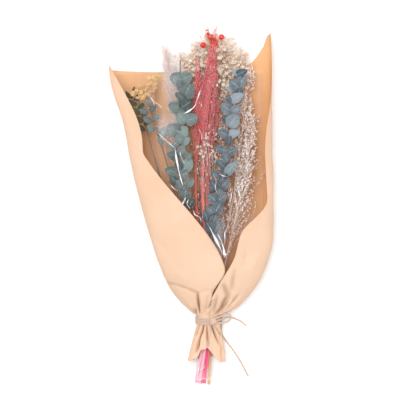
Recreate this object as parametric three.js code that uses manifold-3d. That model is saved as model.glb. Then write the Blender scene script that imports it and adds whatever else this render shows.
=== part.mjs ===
// A bunch of dried flowers, lying on its back: a sleeve of clear film inside a cone of kraft
// paper, both gathered at the neck by jute twine. Millimetres, +Z up. The heads point to +Y,
// the open front of the cone faces +Z, and the paper's back lies flat on Z = 0.
import * as THREE from "three";
import { mergeVertices } from "three/addons/utils/BufferGeometryUtils.js";
import Module from "manifold-3d";

const wasm = await Module();
wasm.setup();

// ---------------------------------------------------------------- driving dimensions, mm

const CONE = { length: 400, width: 234, depth: 62 }; // above the tie: to the tip, across, up
const SKIRT = { length: 52, flareLeft: 11, flareRight: 6, rise: 5 }; // the paper below the tie
const PAPER = { thickness: 0.8, lapGap: 0.5, pleats: 9, pleatDepth: 1.3, skirtPleat: 2.2 };
const FILM = { thickness: 0.4, below: 76 }; // below: how far it runs past the tie
const GAP = 0.5; // between pieces that lie against each other
const TWINE = { diameter: 2.2, turns: 4, turnGap: 0.3, neckGap: 0.5, lift: 0.3 };
const STEM = { thick: 1.9, lane: 0.6, sides: 6 }; // lane: free space between stems at the tie
const LEFT_LEAF = { length: 15, width: 18, thickness: 0.9 };
const RIGHT_LEAF = { length: 13, width: 15.5, thickness: 0.9 };
const SIDE_LEAF = { length: 10, width: 11, thickness: 0.9 };
const RUSCUS_LEAF = { length: 11, width: 7, thickness: 0.9 };
const BERRY = { radius: 4, stalk: 0.7, bud: 1.6 };
const BUD = { cream: 2.4, yellow: 3.2, statice: 1.2, red: 0.9 };
const LEAF_ROLL = 0.2; // radians, about the stem
const LEAF_CLEARANCE = 0.6; // between the stem and the hole through a pair of leaves

// ---------------------------------------------------------------- the neck, from the inside out

const NECK_X = 2; // the tie sits a little to the right of the stems' ends
const TWINE_PITCH = TWINE.diameter + TWINE.turnGap;
const NECK_LENGTH = TWINE.turns * TWINE_PITCH + TWINE.diameter + 1; // from Y = 0 down to the skirt
const LANE = 2 * STEM.thick + STEM.lane; // from one stem's middle to the next
const ROWS = 4; // stems lie in four rows, back to front
const WIDEST_ROW = 6;
const bundle = {
  halfWidth: ((WIDEST_ROW - 1) / 2) * LANE + STEM.thick + STEM.lane,
  halfDepth: ((ROWS - 1) / 2) * LANE + STEM.thick + 4 * STEM.lane,
};
const filmNeck = grown(bundle, FILM.thickness);
const wrapStack = GAP + 2 * PAPER.thickness + PAPER.lapGap; // two layers of paper at the lap
const paperNeck = grown(filmNeck, wrapStack);
const NECK_LIFT = TWINE.diameter + TWINE.neckGap + TWINE.lift; // the twine passes under the neck
const neckMiddle = NECK_LIFT + paperNeck.halfDepth;

function grown(oval, by) {
  return { halfWidth: oval.halfWidth + by, halfDepth: oval.halfDepth + by };
}

// ---------------------------------------------------------------- small tools

// The value at key of a smooth curve through [key, value] pairs, which never overshoots them.
function follow(pairs, key) {
  const last = pairs.length - 1;
  if (key <= pairs[0][0]) return pairs[0][1];
  if (key >= pairs[last][0]) return pairs[last][1];
  const slope = (i) => (pairs[i + 1][1] - pairs[i][1]) / (pairs[i + 1][0] - pairs[i][0]);
  const tangent = (i) => {
    if (i === 0) return slope(0);
    if (i === last) return slope(last - 1);
    const before = slope(i - 1);
    const after = slope(i);
    return before * after <= 0 ? 0 : (2 * before * after) / (before + after);
  };
  const i = pairs.findIndex((pair, n) => n < last && key <= pairs[n + 1][0]);
  const span = pairs[i + 1][0] - pairs[i][0];
  const s = (key - pairs[i][0]) / span;
  return (
    pairs[i][1] * (1 + 2 * s) * (1 - s) ** 2 +
    pairs[i + 1][1] * s * s * (3 - 2 * s) +
    span * (tangent(i) * s * (1 - s) ** 2 - tangent(i + 1) * s * s * (1 - s))
  );
}

function mix(a, b, share) {
  return a + (b - a) * share;
}

function geometryOf(points, triangles) {
  const geometry = new THREE.BufferGeometry().setFromPoints(points);
  geometry.setIndex(triangles);
  const faceted = geometry.toNonIndexed();
  faceted.computeVertexNormals();
  return faceted;
}

// A closed solid between two grids of points, outer[i][j] and inner[i][j]. A wrapped grid joins
// its last column to its first, as a tube does.
function thickSheet(outer, inner, wrapped) {
  const rows = outer.length;
  const columns = outer[0].length;
  const points = [...outer.flat(), ...inner.flat()];
  const out = (i, j) => i * columns + (j % columns);
  const into = (i, j) => rows * columns + out(i, j);
  const triangles = [];
  const quad = (a, b, c, d) => triangles.push(a, b, c, a, c, d);
  for (let j = 0; j < (wrapped ? columns : columns - 1); j++) {
    for (let i = 0; i < rows - 1; i++) {
      quad(out(i, j), out(i + 1, j), out(i + 1, j + 1), out(i, j + 1));
      quad(into(i, j), into(i, j + 1), into(i + 1, j + 1), into(i + 1, j));
    }
    quad(out(0, j), out(0, j + 1), into(0, j + 1), into(0, j));
    quad(out(rows - 1, j), into(rows - 1, j), into(rows - 1, j + 1), out(rows - 1, j + 1));
  }
  for (let i = 0; i < rows - 1 && !wrapped; i++) {
    const j = columns - 1;
    quad(out(i, 0), into(i, 0), into(i + 1, 0), out(i + 1, 0));
    quad(out(i, j), out(i + 1, j), into(i + 1, j), into(i, j));
  }
  return geometryOf(points, triangles);
}

// A closed round solid along a line of points, with a radius at each.
function taperedRod(line, radii, sides) {
  const curve = new THREE.CatmullRomCurve3(line);
  const points = [];
  line.forEach((point, i) => {
    const ahead = curve.getTangent(i / (line.length - 1));
    const side = new THREE.Vector3().crossVectors(ahead, new THREE.Vector3(0, 0, 1)).normalize();
    const up = new THREE.Vector3().crossVectors(side, ahead);
    for (let k = 0; k < sides; k++) {
      const turn = (2 * Math.PI * k) / sides;
      const rim = side.clone().multiplyScalar(Math.cos(turn) * radii[i]);
      points.push(rim.addScaledVector(up, Math.sin(turn) * radii[i]).add(point));
    }
  });
  const triangles = [];
  const at = (i, k) => i * sides + (k % sides);
  for (let i = 0; i < line.length - 1; i++)
    for (let k = 0; k < sides; k++) {
      triangles.push(at(i, k), at(i + 1, k), at(i + 1, k + 1));
      triangles.push(at(i, k), at(i + 1, k + 1), at(i, k + 1));
    }
  const end = line.length - 1;
  for (let k = 1; k < sides - 1; k++) {
    triangles.push(at(0, 0), at(0, k), at(0, k + 1));
    triangles.push(at(end, 0), at(end, k + 1), at(end, k));
  }
  return geometryOf(points, triangles);
}

function solidFrom(geometry) {
  const flat = geometry.index ? geometry.toNonIndexed() : geometry;
  const bare = new THREE.BufferGeometry().setAttribute("position", flat.getAttribute("position"));
  const merged = mergeVertices(bare, 1e-4);
  return new wasm.Manifold(
    new wasm.Mesh({
      numProp: 3,
      vertProperties: merged.attributes.position.array,
      triVerts: new Uint32Array(merged.index.array),
    }),
  );
}

function geometryFrom(solid) {
  const mesh = solid.getMesh();
  const points = [];
  for (let i = 0; i < mesh.numVert; i++) {
    const start = i * mesh.numProp;
    points.push(new THREE.Vector3(...mesh.vertProperties.slice(start, start + 3)));
  }
  return geometryOf(points, [...mesh.triVerts]);
}

function joined(geometries) {
  return geometryFrom(geometries.map(solidFrom).reduce((all, next) => all.add(next)));
}

// ---------------------------------------------------------------- the cone's outline

// How the cone widens on each side of the neck, as shares of its length and its width.
const WIDENS_LEFT = [
  [0, 0], [0.012, 0.03], [0.04, 0.085], [0.09, 0.155], [0.16, 0.215], [0.27, 0.28],
  [0.53, 0.395], [0.69, 0.45], [0.83, 0.52], [0.9, 0.534], [1, 0.54],
];
const WIDENS_RIGHT = [
  [0, 0], [0.012, 0.055], [0.035, 0.118], [0.075, 0.18], [0.127, 0.24], [0.19, 0.283],
  [0.27, 0.313], [0.5, 0.325], [0.6, 0.315], [0.94, 0.313], [1, 0.302],
];
const RISES = [[0, 0], [0.05, 0.32], [0.16, 0.72], [0.35, 1], [0.8, 0.95], [1, 0.6]];
const SQUARENESS = [[0, 2.4], [0.15, 3]]; // 2 is an ellipse, and more is fuller at its corners
// The inner edges of the two front flaps, across from the tie's middle. Below the V's foot the
// left flap lies over the right one.
const LEFT_FLAP_EDGE = [
  [0, 0.01], [0.08, 0.03], [0.165, 0.105], [0.185, 0.098], [0.54, -0.345],
  [0.575, -0.38], [0.62, -0.385], [0.905, -0.6],
];
const RIGHT_FLAP_EDGE = [
  [0, -0.034], [0.12, 0.075], [0.21, 0.162], [0.29, 0.198], [0.4, 0.355], [0.42, 0.36],
  [0.59, 0.342], [0.83, 0.386], [1, 0.382],
];
// The ends of the sheet, from the left flap's edge (0) round the back to the right flap's (1).
const TOP_EDGE = [
  [0, 0.903], [0.05, 0.873], [0.6, 0.868], [0.64, 0.873], [0.7, 0.912], [0.77, 0.955], [0.88, 0.99],
  [1, 1],
];
const SKIRT_EDGE = [
  [0, 0.54], [0.06, 0.7], [0.14, 0.97], [0.3, 1], [0.5, 0.92], [0.75, 1], [0.88, 0.97],
  [0.92, 0.74], [1, 0.54],
];

const share = (y) => Math.max(0, y) / CONE.length;
const skirtShare = (y) => Math.max(0, -y - NECK_LENGTH) / SKIRT.length;
const neckTop = NECK_LIFT + 2 * paperNeck.halfDepth;

function paperTop(y) {
  const cone = (CONE.depth - neckTop) * follow(RISES, share(y));
  return neckTop + cone + SKIRT.rise * skirtShare(y);
}

function paperFloor(y) {
  const skirtLands = -NECK_LENGTH - 0.5 * SKIRT.length;
  return follow([[skirtLands, 0], [-NECK_LENGTH, NECK_LIFT], [1, NECK_LIFT], [28, 0]], y);
}

// The outline of the paper at one place along the bunch: an oval, pressed flat where it lies.
function paperOval(y) {
  const flare = skirtShare(y);
  const left =
    NECK_X - paperNeck.halfWidth - CONE.width * follow(WIDENS_LEFT, share(y)) -
    SKIRT.flareLeft * flare;
  const right =
    NECK_X + paperNeck.halfWidth + CONE.width * follow(WIDENS_RIGHT, share(y)) +
    SKIRT.flareRight * flare;
  const top = paperTop(y);
  const floor = paperFloor(y);
  const pressed = 2 * follow([[-NECK_LENGTH - 20, 1], [-NECK_LENGTH, 0], [0, 0], [30, 1]], y);
  return ovalOf(left, right, floor - pressed, top, floor, follow(SQUARENESS, share(y)));
}

function ovalOf(left, right, low, high, floor, squareness) {
  return {
    x: (left + right) / 2, z: (low + high) / 2, halfWidth: (right - left) / 2,
    halfDepth: (high - low) / 2, floor, squareness,
  };
}

// The point of an oval at a turn from its top, going round by the left, moved in by some depth.
function onOval(oval, turn, depth) {
  const power = 2 / oval.squareness;
  const rounded = (v) => Math.sign(v) * Math.abs(v) ** power;
  const place = (t) =>
    new THREE.Vector2(
      oval.x - oval.halfWidth * rounded(Math.sin(t)),
      Math.max(oval.floor, oval.z + oval.halfDepth * rounded(Math.cos(t))),
    );
  const step = 0.02;
  const along = place(turn + step).sub(place(turn - step)).normalize();
  const inward = new THREE.Vector2(-along.y, along.x);
  return place(turn).addScaledVector(inward, depth);
}

// The turn at which an oval's front passes over x.
function turnAt(oval, x) {
  const reach = (oval.x - x) / oval.halfWidth;
  const sine = Math.sign(reach) * Math.min(1, Math.abs(reach)) ** (oval.squareness / 2);
  return Math.asin(sine);
}

// ---------------------------------------------------------------- kraft paper

const PAPER_STATIONS = [0.012, 0.035, 0.07, 0.12, 0.18, 0.26, 0.37, 0.52, 0.68, 0.85, 1];
const SKIRT_STATIONS = [1, 0.6, 0.25];
const PAPER_COLUMNS = 38;

function paperPoint(y, across, depth) {
  const oval = paperOval(y);
  const first = turnAt(oval, CONE.width * follow(LEFT_FLAP_EDGE, share(y)));
  const last = 2 * Math.PI + turnAt(oval, CONE.width * follow(RIGHT_FLAP_EDGE, share(y)));
  const turn = mix(first, last, across);
  // The right flap tucks under the left one, one sheet and a gap further in.
  const tuck = (PAPER.thickness + PAPER.lapGap) * follow([[0.78, 0], [0.9, 1]], across);
  const pleat =
    PAPER.pleatDepth * follow([[0, 0], [16, 1], [50, 0]], y) +
    PAPER.skirtPleat * skirtShare(y);
  const wave = (pleat / 2) * (1 - Math.cos(PAPER.pleats * turn));
  const place = onOval(oval, turn, depth + tuck - wave);
  return new THREE.Vector3(place.x, y, Math.max(place.y, oval.floor + depth));
}

function kraftPaper() {
  const layer = (depth) => {
    const column = (y) =>
      Array.from({ length: PAPER_COLUMNS }, (_, j) => {
        const across = j / (PAPER_COLUMNS - 1);
        return paperPoint(y(across), across, depth);
      });
    return [
      ...SKIRT_STATIONS.map((s) =>
        column((a) => -NECK_LENGTH - s * SKIRT.length * follow(SKIRT_EDGE, a)),
      ),
      column(() => -NECK_LENGTH),
      column(() => 0),
      ...PAPER_STATIONS.map((s) => column((a) => s * CONE.length * follow(TOP_EDGE, a))),
    ];
  };
  return thickSheet(layer(0), layer(PAPER.thickness), false);
}

// ---------------------------------------------------------------- clear film

const FILM_STATIONS = [0.035, 0.07, 0.12, 0.18, 0.26, 0.37, 0.52, 0.68, 0.85, 1];
const FILM_COLUMNS = 22;
const FILM_TOP = [[0, 0.875], [0.12, 0.92], [0.3, 0.86], [0.5, 0.87], [0.75, 0.86], [1, 0.875]];
const FILM_INSET_LEFT = [[0, 0], [0.15, 5], [0.3, 6]];
const FILM_INSET_RIGHT = [[0, 0], [0.2, 8], [0.35, 11]];

function filmOval(y) {
  const paper = paperOval(Math.max(0, y));
  const s = share(y);
  const below = Math.max(0, -y - NECK_LENGTH) / FILM.below;
  const left =
    paper.x - paper.halfWidth + wrapStack + follow(FILM_INSET_LEFT, s) - 5 * below;
  const right =
    paper.x + paper.halfWidth - wrapStack - follow(FILM_INSET_RIGHT, s) - 5 * below ** 2;
  const high = paperTop(Math.min(Math.max(0, y), 0.8 * CONE.length)) - wrapStack - 2 * below;
  const floor = paperFloor(Math.max(0, y)) + PAPER.thickness + GAP;
  const low = mix(neckMiddle - filmNeck.halfDepth, floor, follow([[0, 0], [0.08, 1]], s));
  return ovalOf(left, right, low, high, floor, paper.squareness);
}

function clearFilm() {
  const layer = (depth) => {
    const ring = (y) =>
      Array.from({ length: FILM_COLUMNS }, (_, j) => {
        const across = j / FILM_COLUMNS;
        const place = onOval(filmOval(y(across)), 2 * Math.PI * across, depth);
        const floor = filmOval(y(across)).floor;
        return new THREE.Vector3(place.x, y(across), Math.max(place.y, floor + depth));
      });
    return [
      ...[1, 0.55, 0].map((s) => ring(() => -NECK_LENGTH - s * FILM.below)),
      ring(() => 0),
      ...FILM_STATIONS.map((s) => ring((a) => s * CONE.length * follow(FILM_TOP, a))),
    ];
  };
  return thickSheet(layer(0), layer(FILM.thickness), true);
}

// ---------------------------------------------------------------- stems

// Where the rows lie, back to front, as shares of the bunch's depth: at the tie and at the heads.
const ROW_AT_HEADS = [0.17, 0.37, 0.55, 0.73];
const rowAtNeck = (row) => neckMiddle + (row - (ROWS - 1) / 2) * LANE;

function rowHeight(row, y) {
  const neck = rowAtNeck(row);
  const heads = paperTop(Math.min(y, 0.75 * CONE.length)) * ROW_AT_HEADS[row];
  return mix(neck, heads, follow([[0, 0], [0.22, 1]], share(y)));
}

// Each stem: its row, its lane across the tie, its radius at the cut and at the tip, the lane it
// has drifted to where it is cut and how far below the tie that is, and the places it passes, in
// hundredths of the cone's width and length.
const STEMS = {
  cream_bloom_1: { row: 0, lane: -2, radius: [1.2, 0.6], cut: [-2.05, 42], via: [[-5, 45], [-10.6, 86]] },
  cream_bloom_2: { row: 0, lane: -1, radius: [1.2, 0.6], cut: [-1.1, 50], via: [[-1, 45], [-3, 91]] },
  cream_bloom_3: { row: 0, lane: 0, radius: [1.2, 0.6], cut: [-0.15, 38], via: [[2.6, 45], [4.6, 93]] },
  cream_bloom_4: { row: 0, lane: 1, radius: [1.2, 0.6], cut: [0.8, 47], via: [[6.8, 45], [12.2, 91]] },
  cream_bloom_5: { row: 0, lane: 2, radius: [1.2, 0.6], cut: [1.75, 40], via: [[11, 45], [19, 87]] },
  ruscus: { row: 1, lane: -2.5, radius: [1.3, 0.7], cut: [-2.8, 36], via: [[-25, 42], [-43, 79]] },
  yellow_bloom: { row: 1, lane: -1.5, radius: [1.2, 0.7], cut: [-1.85, 44], via: [[-19, 42], [-34, 80]] },
  pale_plume_1: { row: 1, lane: -0.5, radius: [1.2, 0.6], cut: [-0.9, 52], via: [[-14, 45], [-25, 93]] },
  berry_sprig: { row: 1, lane: 0.5, radius: [1.9, 1], cut: [0.15, 98.7], via: [[-0.5, 45], [2, 96.5]] },
  statice_1: { row: 1, lane: 1.5, radius: [1.3, 0.6], cut: [1.2, 46], via: [[16.5, 45], [25, 83.5]] },
  statice_2: { row: 1, lane: 2.5, radius: [1.2, 0.6], cut: [2.2, 41], via: [[21.5, 42], [27.5, 68]] },
  eucalyptus_side: { row: 2, lane: -2.5, radius: [1.4, 0.8], cut: [-2.6, 22], via: [[-19, 42], [-36, 77]] },
  pale_plume_2: { row: 2, lane: -1.5, radius: [1.2, 0.6], cut: [-1.75, 20], via: [[-13.5, 45], [-20, 87]] },
  red_broom_1: { row: 2, lane: -0.5, radius: [1.9, 1.1], cut: [-3.5, 95.6], via: [[-7, 45], [-6, 86]] },
  red_broom_2: { row: 2, lane: 0.5, radius: [1.9, 1.1], cut: [-1.95, 96.4], via: [[-2.6, 45], [0.4, 94]] },
  red_broom_3: { row: 2, lane: 1.5, radius: [1.7, 1.1], cut: [0.95, 48], via: [[0.2, 45], [6.5, 87]] },
  statice_3: { row: 2, lane: 2.5, radius: [1.2, 0.6], cut: [2, 37], via: [[19, 40], [26, 60]] },
  eucalyptus_left: {
    row: 3, lane: -1, radius: [1.6, 0.8], cut: [-1.2, 40], via: [[-13, 41.5], [-16.5, 64], [-16, 90]],
  },
  eucalyptus_right: {
    row: 3, lane: 1, radius: [1.6, 0.8], cut: [0.95, 43], via: [[4, 33], [10, 53], [13, 68], [19.5, 87]],
  },
};

const acrossCone = (hundredths) => (hundredths / 100) * CONE.width;
const alongCone = (hundredths) => (hundredths / 100) * CONE.length;

class Stem {
  constructor({ row, lane, radius, cut, via }) {
    const [cutLane, cutBelow] = cut;
    this.row = row;
    this.radius = radius;
    this.low = -cutBelow;
    this.high = alongCone(via.at(-1)[1]);
    this.places = [
      [this.low, NECK_X + cutLane * LANE],
      [0, NECK_X + lane * LANE],
      ...via.map(([x, y]) => [alongCone(y), acrossCone(x)]),
    ];
  }
  at(y) {
    return new THREE.Vector3(follow(this.places, y), y, rowHeight(this.row, y));
  }
  ahead(y) {
    return this.at(y + 1).sub(this.at(y - 1)).normalize();
  }
  radiusAt(y) {
    return mix(...this.radius, Math.max(0, y) / this.high);
  }
  rod(nodes = []) {
    const steps = 7;
    const stations = [this.low, 0.4 * this.low, 0];
    for (let i = 1; i <= steps; i++) {
      const y = (this.high * i) / steps;
      if (nodes.every((node) => Math.abs(node - y) > 6)) stations.push(y);
    }
    stations.push(...nodes);
    stations.sort((a, b) => a - b);
    return taperedRod(stations.map((y) => this.at(y)), stations.map((y) => this.radiusAt(y)), STEM.sides);
  }
}

const stems = Object.fromEntries(Object.entries(STEMS).map(([name, facts]) => [name, new Stem(facts)]));

// ---------------------------------------------------------------- heads

function bud(place, radius) {
  return new THREE.OctahedronGeometry(radius, 0).translate(place.x, place.y, place.z);
}

// A stem with side twigs, left and right by turns, each with a bud or a bare tip. Angles are
// from the stem, and reach is the topmost twig's length.
function sprayOf(stem, { from, twigs, angle, reach, twigRadius, budRadius }) {
  const pieces = [stem.rod()];
  for (let i = 0; i < twigs; i++) {
    const y = mix(stem.high * from, stem.high - 2, i / (twigs - 1));
    const side = i % 2 ? 1 : -1;
    const ahead = stem.ahead(y);
    const out = ahead.clone().applyAxisAngle(new THREE.Vector3(0, 0, 1), -side * angle);
    out.z += 0.3 * Math.cos(2.4 * i);
    out.normalize();
    const length = reach * mix(0.5, 1, i / (twigs - 1)) * (1 - 0.3 * Math.abs(Math.sin(1.7 * i)));
    const start = stem.at(y);
    const tip = start.clone().addScaledVector(out, length);
    pieces.push(taperedRod([start, tip], [twigRadius, twigRadius], 4));
    pieces.push(bud(tip, budRadius));
  }
  return joined(pieces);
}

// A soft plume: a spindle of fine hairs along the top of its stem, made as one closed form.
function plumeOf(stem, { from, radius }) {
  const low = stem.high * from;
  const shape = [0, 0.55, 0.9, 1, 0.85, 0.5, 0];
  const places = shape.map((_, i) => stem.at(mix(low, stem.high, i / (shape.length - 1))));
  const radii = shape.map((part) => mix(stem.radius[1] * 1.2, radius, part));
  return joined([stem.rod(), taperedRod(places, radii, 8)]);
}

function leafShape({ length, width }, points) {
  const shape = new THREE.Shape();
  for (let i = 0; i < points; i++) {
    const turn = (2 * Math.PI * (i + 0.5)) / points;
    const x = (length * (1 - Math.cos(turn))) / 2;
    const y = (width / 2) * Math.sin(turn);
    if (i) shape.lineTo(x, y);
    else shape.moveTo(x, y);
  }
  shape.closePath();
  return shape;
}

function blade(leaf) {
  const flat = new THREE.ExtrudeGeometry(leafShape(leaf, 9), {
    depth: leaf.thickness, bevelEnabled: false, steps: 1,
  });
  return flat.translate(0, 0, -leaf.thickness / 2);
}

// Two leaves that meet round the stem, as young eucalyptus has them, with a hole for the stem.
// The pair's own frame has the leaves along X, and the stem along Y turned back by the tilt.
function leafPair(leaf, stemRadius, tilt) {
  const rise = THREE.MathUtils.degToRad(10);
  const right = solidFrom(blade(leaf).rotateY(-rise));
  const left = solidFrom(blade(leaf).rotateY(-rise).rotateZ(Math.PI));
  const hole = stemRadius + LEAF_CLEARANCE;
  const discRadius = hole / Math.sin(tilt) + 1;
  const disc = new THREE.CylinderGeometry(discRadius, discRadius, leaf.thickness * 1.6, 6);
  const drill = new THREE.CylinderGeometry(hole, hole, 6 * discRadius, 6).rotateX(tilt);
  const collar = solidFrom(disc.rotateX(Math.PI / 2));
  return geometryFrom(right.add(left).add(collar).subtract(solidFrom(drill)));
}

// The red berries on their stalks, and the small buds at the tip.
const BERRIES = [[-2.6, 95.2], [8.5, 98]];

function berrySprig(stem) {
  const tip = stem.at(stem.high);
  const pieces = [stem.rod(), bud(tip, BERRY.bud)];
  BERRIES.forEach(([x, y], i) => {
    const base = stem.at(stem.high - 14 + 6 * i);
    const place = new THREE.Vector3(acrossCone(x), alongCone(y), base.z + 3);
    const middle = base.clone().lerp(place, 0.5).add(new THREE.Vector3(0, 1, 0.5));
    pieces.push(taperedRod([base, middle, place], [BERRY.stalk, BERRY.stalk, BERRY.stalk], 5));
    pieces.push(new THREE.IcosahedronGeometry(BERRY.radius, 1).translate(place.x, place.y, place.z));
  });
  for (const turn of [-0.9, 0.2, 1.1]) {
    const reach = new THREE.Vector3(Math.sin(turn), Math.cos(turn), 0.4).multiplyScalar(7);
    const end = tip.clone().add(reach);
    pieces.push(taperedRod([tip, tip.clone().lerp(end, 0.5), end], [0.7, 0.6, 0.5], 4));
    pieces.push(bud(end, BERRY.bud));
  }
  return joined(pieces);
}

// ---------------------------------------------------------------- twine

function twineAlong(curve, steps) {
  const section = new THREE.Shape().absarc(0, 0, TWINE.diameter / 2, 0, 2 * Math.PI, false);
  const eightSides = 4; // a full arc takes two sides for each segment
  return new THREE.ExtrudeGeometry(section, {
    steps, bevelEnabled: false, curveSegments: eightSides, extrudePath: curve,
  });
}

const tieY = -NECK_LENGTH / 2;
const tieOval = paperOval(tieY);
const KNOT_SIZE = { x: 4.2, y: 5.8, z: 3 };
const KNOT_TURN = -0.3; // radians from the top of the neck, to the right of it
const TURN_STEPS = 24;

// The middle of something round that lies on the neck's paper, at a turn from its top.
function onNeck(turn, y, radius) {
  const place = onOval(tieOval, turn, -(TWINE.neckGap + radius));
  return new THREE.Vector3(place.x, y, place.y);
}

class NeckHelix extends THREE.Curve {
  getPoint(s, target = new THREE.Vector3()) {
    const turn = KNOT_TURN - 2 * Math.PI * TWINE.turns * s;
    const y = tieY + TWINE_PITCH * TWINE.turns * (0.5 - s);
    return target.copy(onNeck(turn, y, TWINE.diameter / 2));
  }
}

function twineTie() {
  const place = onNeck(KNOT_TURN, tieY, KNOT_SIZE.z);
  const knot = new THREE.IcosahedronGeometry(1, 1);
  knot.scale(KNOT_SIZE.x, KNOT_SIZE.y, KNOT_SIZE.z);
  knot.translate(place.x, place.y, place.z);
  return joined([twineAlong(new NeckHelix(), TURN_STEPS * TWINE.turns), knot]);
}

// The bow's one loop and the twine's two free ends, from the tie out, chosen by hand. The long
// end comes off the turns low on the right, and both ends reach the ground.
const BOW_LOOP = [
  [12.4, -3, 34], [15.4, -1.8, 34.8], [18.6, -0.2, 34.6], [21.8, 1.4, 33.6], [25, 2.5, 31.9],
  [28, 2.8, 29.7], [30.8, 2, 27.4], [32.8, 0.1, 25.2], [33.5, -2.6, 23.6], [32.5, -5.4, 23.2],
  [30, -7.6, 24.2], [27, -8.9, 26], [23.6, -9.6, 28.4], [20, -9.8, 30.6], [16.8, -9.6, 32.2],
  [13.4, -9.3, 33.2],
];
const SHORT_END = [
  [13.5, -6, 32.6], [15.8, -5.6, 31.9], [18.4, -5, 30], [20.9, -4.5, 26.9], [23.2, -4.1, 23],
  [25.3, -3.8, 18.9], [27.3, -3.6, 14.7], [29.4, -3.6, 10.6], [31.8, -4, 6.8], [34.6, -4.7, 3.6],
  [37.8, -5.8, 1.7], [41.2, -7, 1.2], [44.6, -8.4, 1.2], [48, -10.3, 1.2], [51.8, -13, 1.2],
  [55.7, -16.4, 1.2],
];
const LONG_END = [
  [20.6, -9.5, 9.3], [21, -12.2, 5.8], [20.8, -15.4, 3], [20.4, -19.4, 1.5], [20.3, -24.4, 1.2],
  [21.6, -29.8, 1.2], [25.2, -35.8, 1.2], [30, -41.8, 1.2], [34.8, -48.2, 1.2], [39.5, -55, 1.2],
  [43.9, -61.6, 1.2], [48, -68.4, 1.2], [51.8, -75.2, 1.2], [55.4, -82.2, 1.2], [59, -89, 1.2],
];

function twineEnd(places) {
  const curve = new THREE.CatmullRomCurve3(places.map((place) => new THREE.Vector3(...place)));
  const steps = Math.ceil(curve.getLength() / (2.5 * TWINE.diameter));
  return twineAlong(curve, steps);
}

// ---------------------------------------------------------------- the bunch

const MATERIALS = {
  kraft: { color: 0xe9be90, roughness: 0.85 },
  film: { color: 0xf4f6f8, roughness: 0.1, transparent: true, opacity: 0.3 },
  jute: { color: 0xc9b096, roughness: 0.95 },
  brownStem: { color: 0x8a6f56, roughness: 0.8 },
  leaf: { color: 0x6f8f8c, roughness: 0.7 },
  darkLeaf: { color: 0x3c4a2e, roughness: 0.6 },
  cream: { color: 0xead3b0, roughness: 0.9 },
  yellow: { color: 0xe3b063, roughness: 0.9 },
  white: { color: 0xe6d6cb, roughness: 0.9 },
  plume: { color: 0xe2c8b8, roughness: 0.95 },
  red: { color: 0xd9484c, roughness: 0.8 },
  berry: { color: 0xd3151c, roughness: 0.35 },
};
const materials = Object.fromEntries(
  Object.entries(MATERIALS).map(([name, facts]) => [name, new THREE.MeshStandardMaterial(facts)]),
);

const bouquet = new THREE.Group();

function add(name, geometry, material) {
  const mesh = new THREE.Mesh(geometry, materials[material]);
  mesh.name = name;
  bouquet.add(mesh);
  return mesh;
}

add("kraft_paper_wrap", kraftPaper(), "kraft");
add("clear_film_sleeve", clearFilm(), "film");
add("twine_tie", twineTie(), "jute");
const cords = {
  twine_bow_loop: BOW_LOOP,
  twine_short_end: SHORT_END,
  twine_long_end: LONG_END,
};
for (const [name, places] of Object.entries(cords)) add(name, twineEnd(places), "jute");

const CREAM_HEAD = { from: 0.66, twigs: 8, angle: 0.75, reach: 11, twigRadius: 0.5, budRadius: BUD.cream };
const STATICE_HEAD = { from: 0.5, twigs: 8, angle: 0.6, reach: 7, twigRadius: 0.4, budRadius: BUD.statice };
const BROOM_HEAD = { from: 0.74, twigs: 6, angle: 0.4, reach: 12, twigRadius: 0.6, budRadius: BUD.red };
const YELLOW_HEAD = { from: 0.87, twigs: 4, angle: 0.7, reach: 9, twigRadius: 0.5, budRadius: BUD.yellow };

for (const n of [1, 2, 3, 4, 5]) {
  add(`cream_bloom_${n}`, sprayOf(stems[`cream_bloom_${n}`], CREAM_HEAD), "cream");
}
for (const n of [1, 2, 3]) {
  add(`statice_${n}`, sprayOf(stems[`statice_${n}`], STATICE_HEAD), "white");
  add(`red_broom_${n}`, sprayOf(stems[`red_broom_${n}`], BROOM_HEAD), "red");
}
for (const n of [1, 2]) {
  add(`pale_plume_${n}`, plumeOf(stems[`pale_plume_${n}`], { from: 0.68, radius: 4.6 }), "plume");
}
add("yellow_bloom", sprayOf(stems.yellow_bloom, YELLOW_HEAD), "yellow");
add("berry_sprig", berrySprig(stems.berry_sprig), "berry");

// Leaf pairs up a stem, each rolled a little about it, left and right by turns.
function leafyStem(name, leaf, tiltDegrees, stations, stemMaterial, leafMaterial) {
  const stem = stems[name];
  const tilt = THREE.MathUtils.degToRad(tiltDegrees);
  const nodes = stations.map(alongCone);
  add(`${name}_stem`, stem.rod(nodes), stemMaterial);
  nodes.forEach((y, i) => {
    const pair = leafPair(leaf, stem.radiusAt(y), tilt);
    const mesh = add(`${name}_leaves_${i + 1}`, pair, leafMaterial);
    const ahead = stem.ahead(y);
    const side = new THREE.Vector3().crossVectors(ahead, new THREE.Vector3(0, 0, 1)).normalize();
    const up = new THREE.Vector3().crossVectors(side, ahead);
    const roll = new THREE.Matrix4().makeRotationY(LEAF_ROLL * (i % 2 ? 1 : -1));
    const turned = new THREE.Matrix4().makeBasis(side, ahead, up).multiply(roll);
    turned.multiply(new THREE.Matrix4().makeRotationX(-tilt));
    mesh.quaternion.setFromRotationMatrix(turned);
    mesh.position.copy(stem.at(y));
  });
}

const LEAVES_LEFT = [41, 49.5, 56.5, 63, 69, 74.5, 79.5, 84.5];
const LEAVES_RIGHT = [35, 41, 47, 53, 58.5, 64, 68.8, 73.3, 77.7, 82];
leafyStem("eucalyptus_left", LEFT_LEAF, 42, LEAVES_LEFT, "brownStem", "leaf");
leafyStem("eucalyptus_right", RIGHT_LEAF, 42, LEAVES_RIGHT, "brownStem", "leaf");
leafyStem("eucalyptus_side", SIDE_LEAF, 45, [64, 68.5, 73], "brownStem", "leaf");
leafyStem("ruscus", RUSCUS_LEAF, 50, [70, 73.5, 77], "darkLeaf", "darkLeaf");

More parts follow.
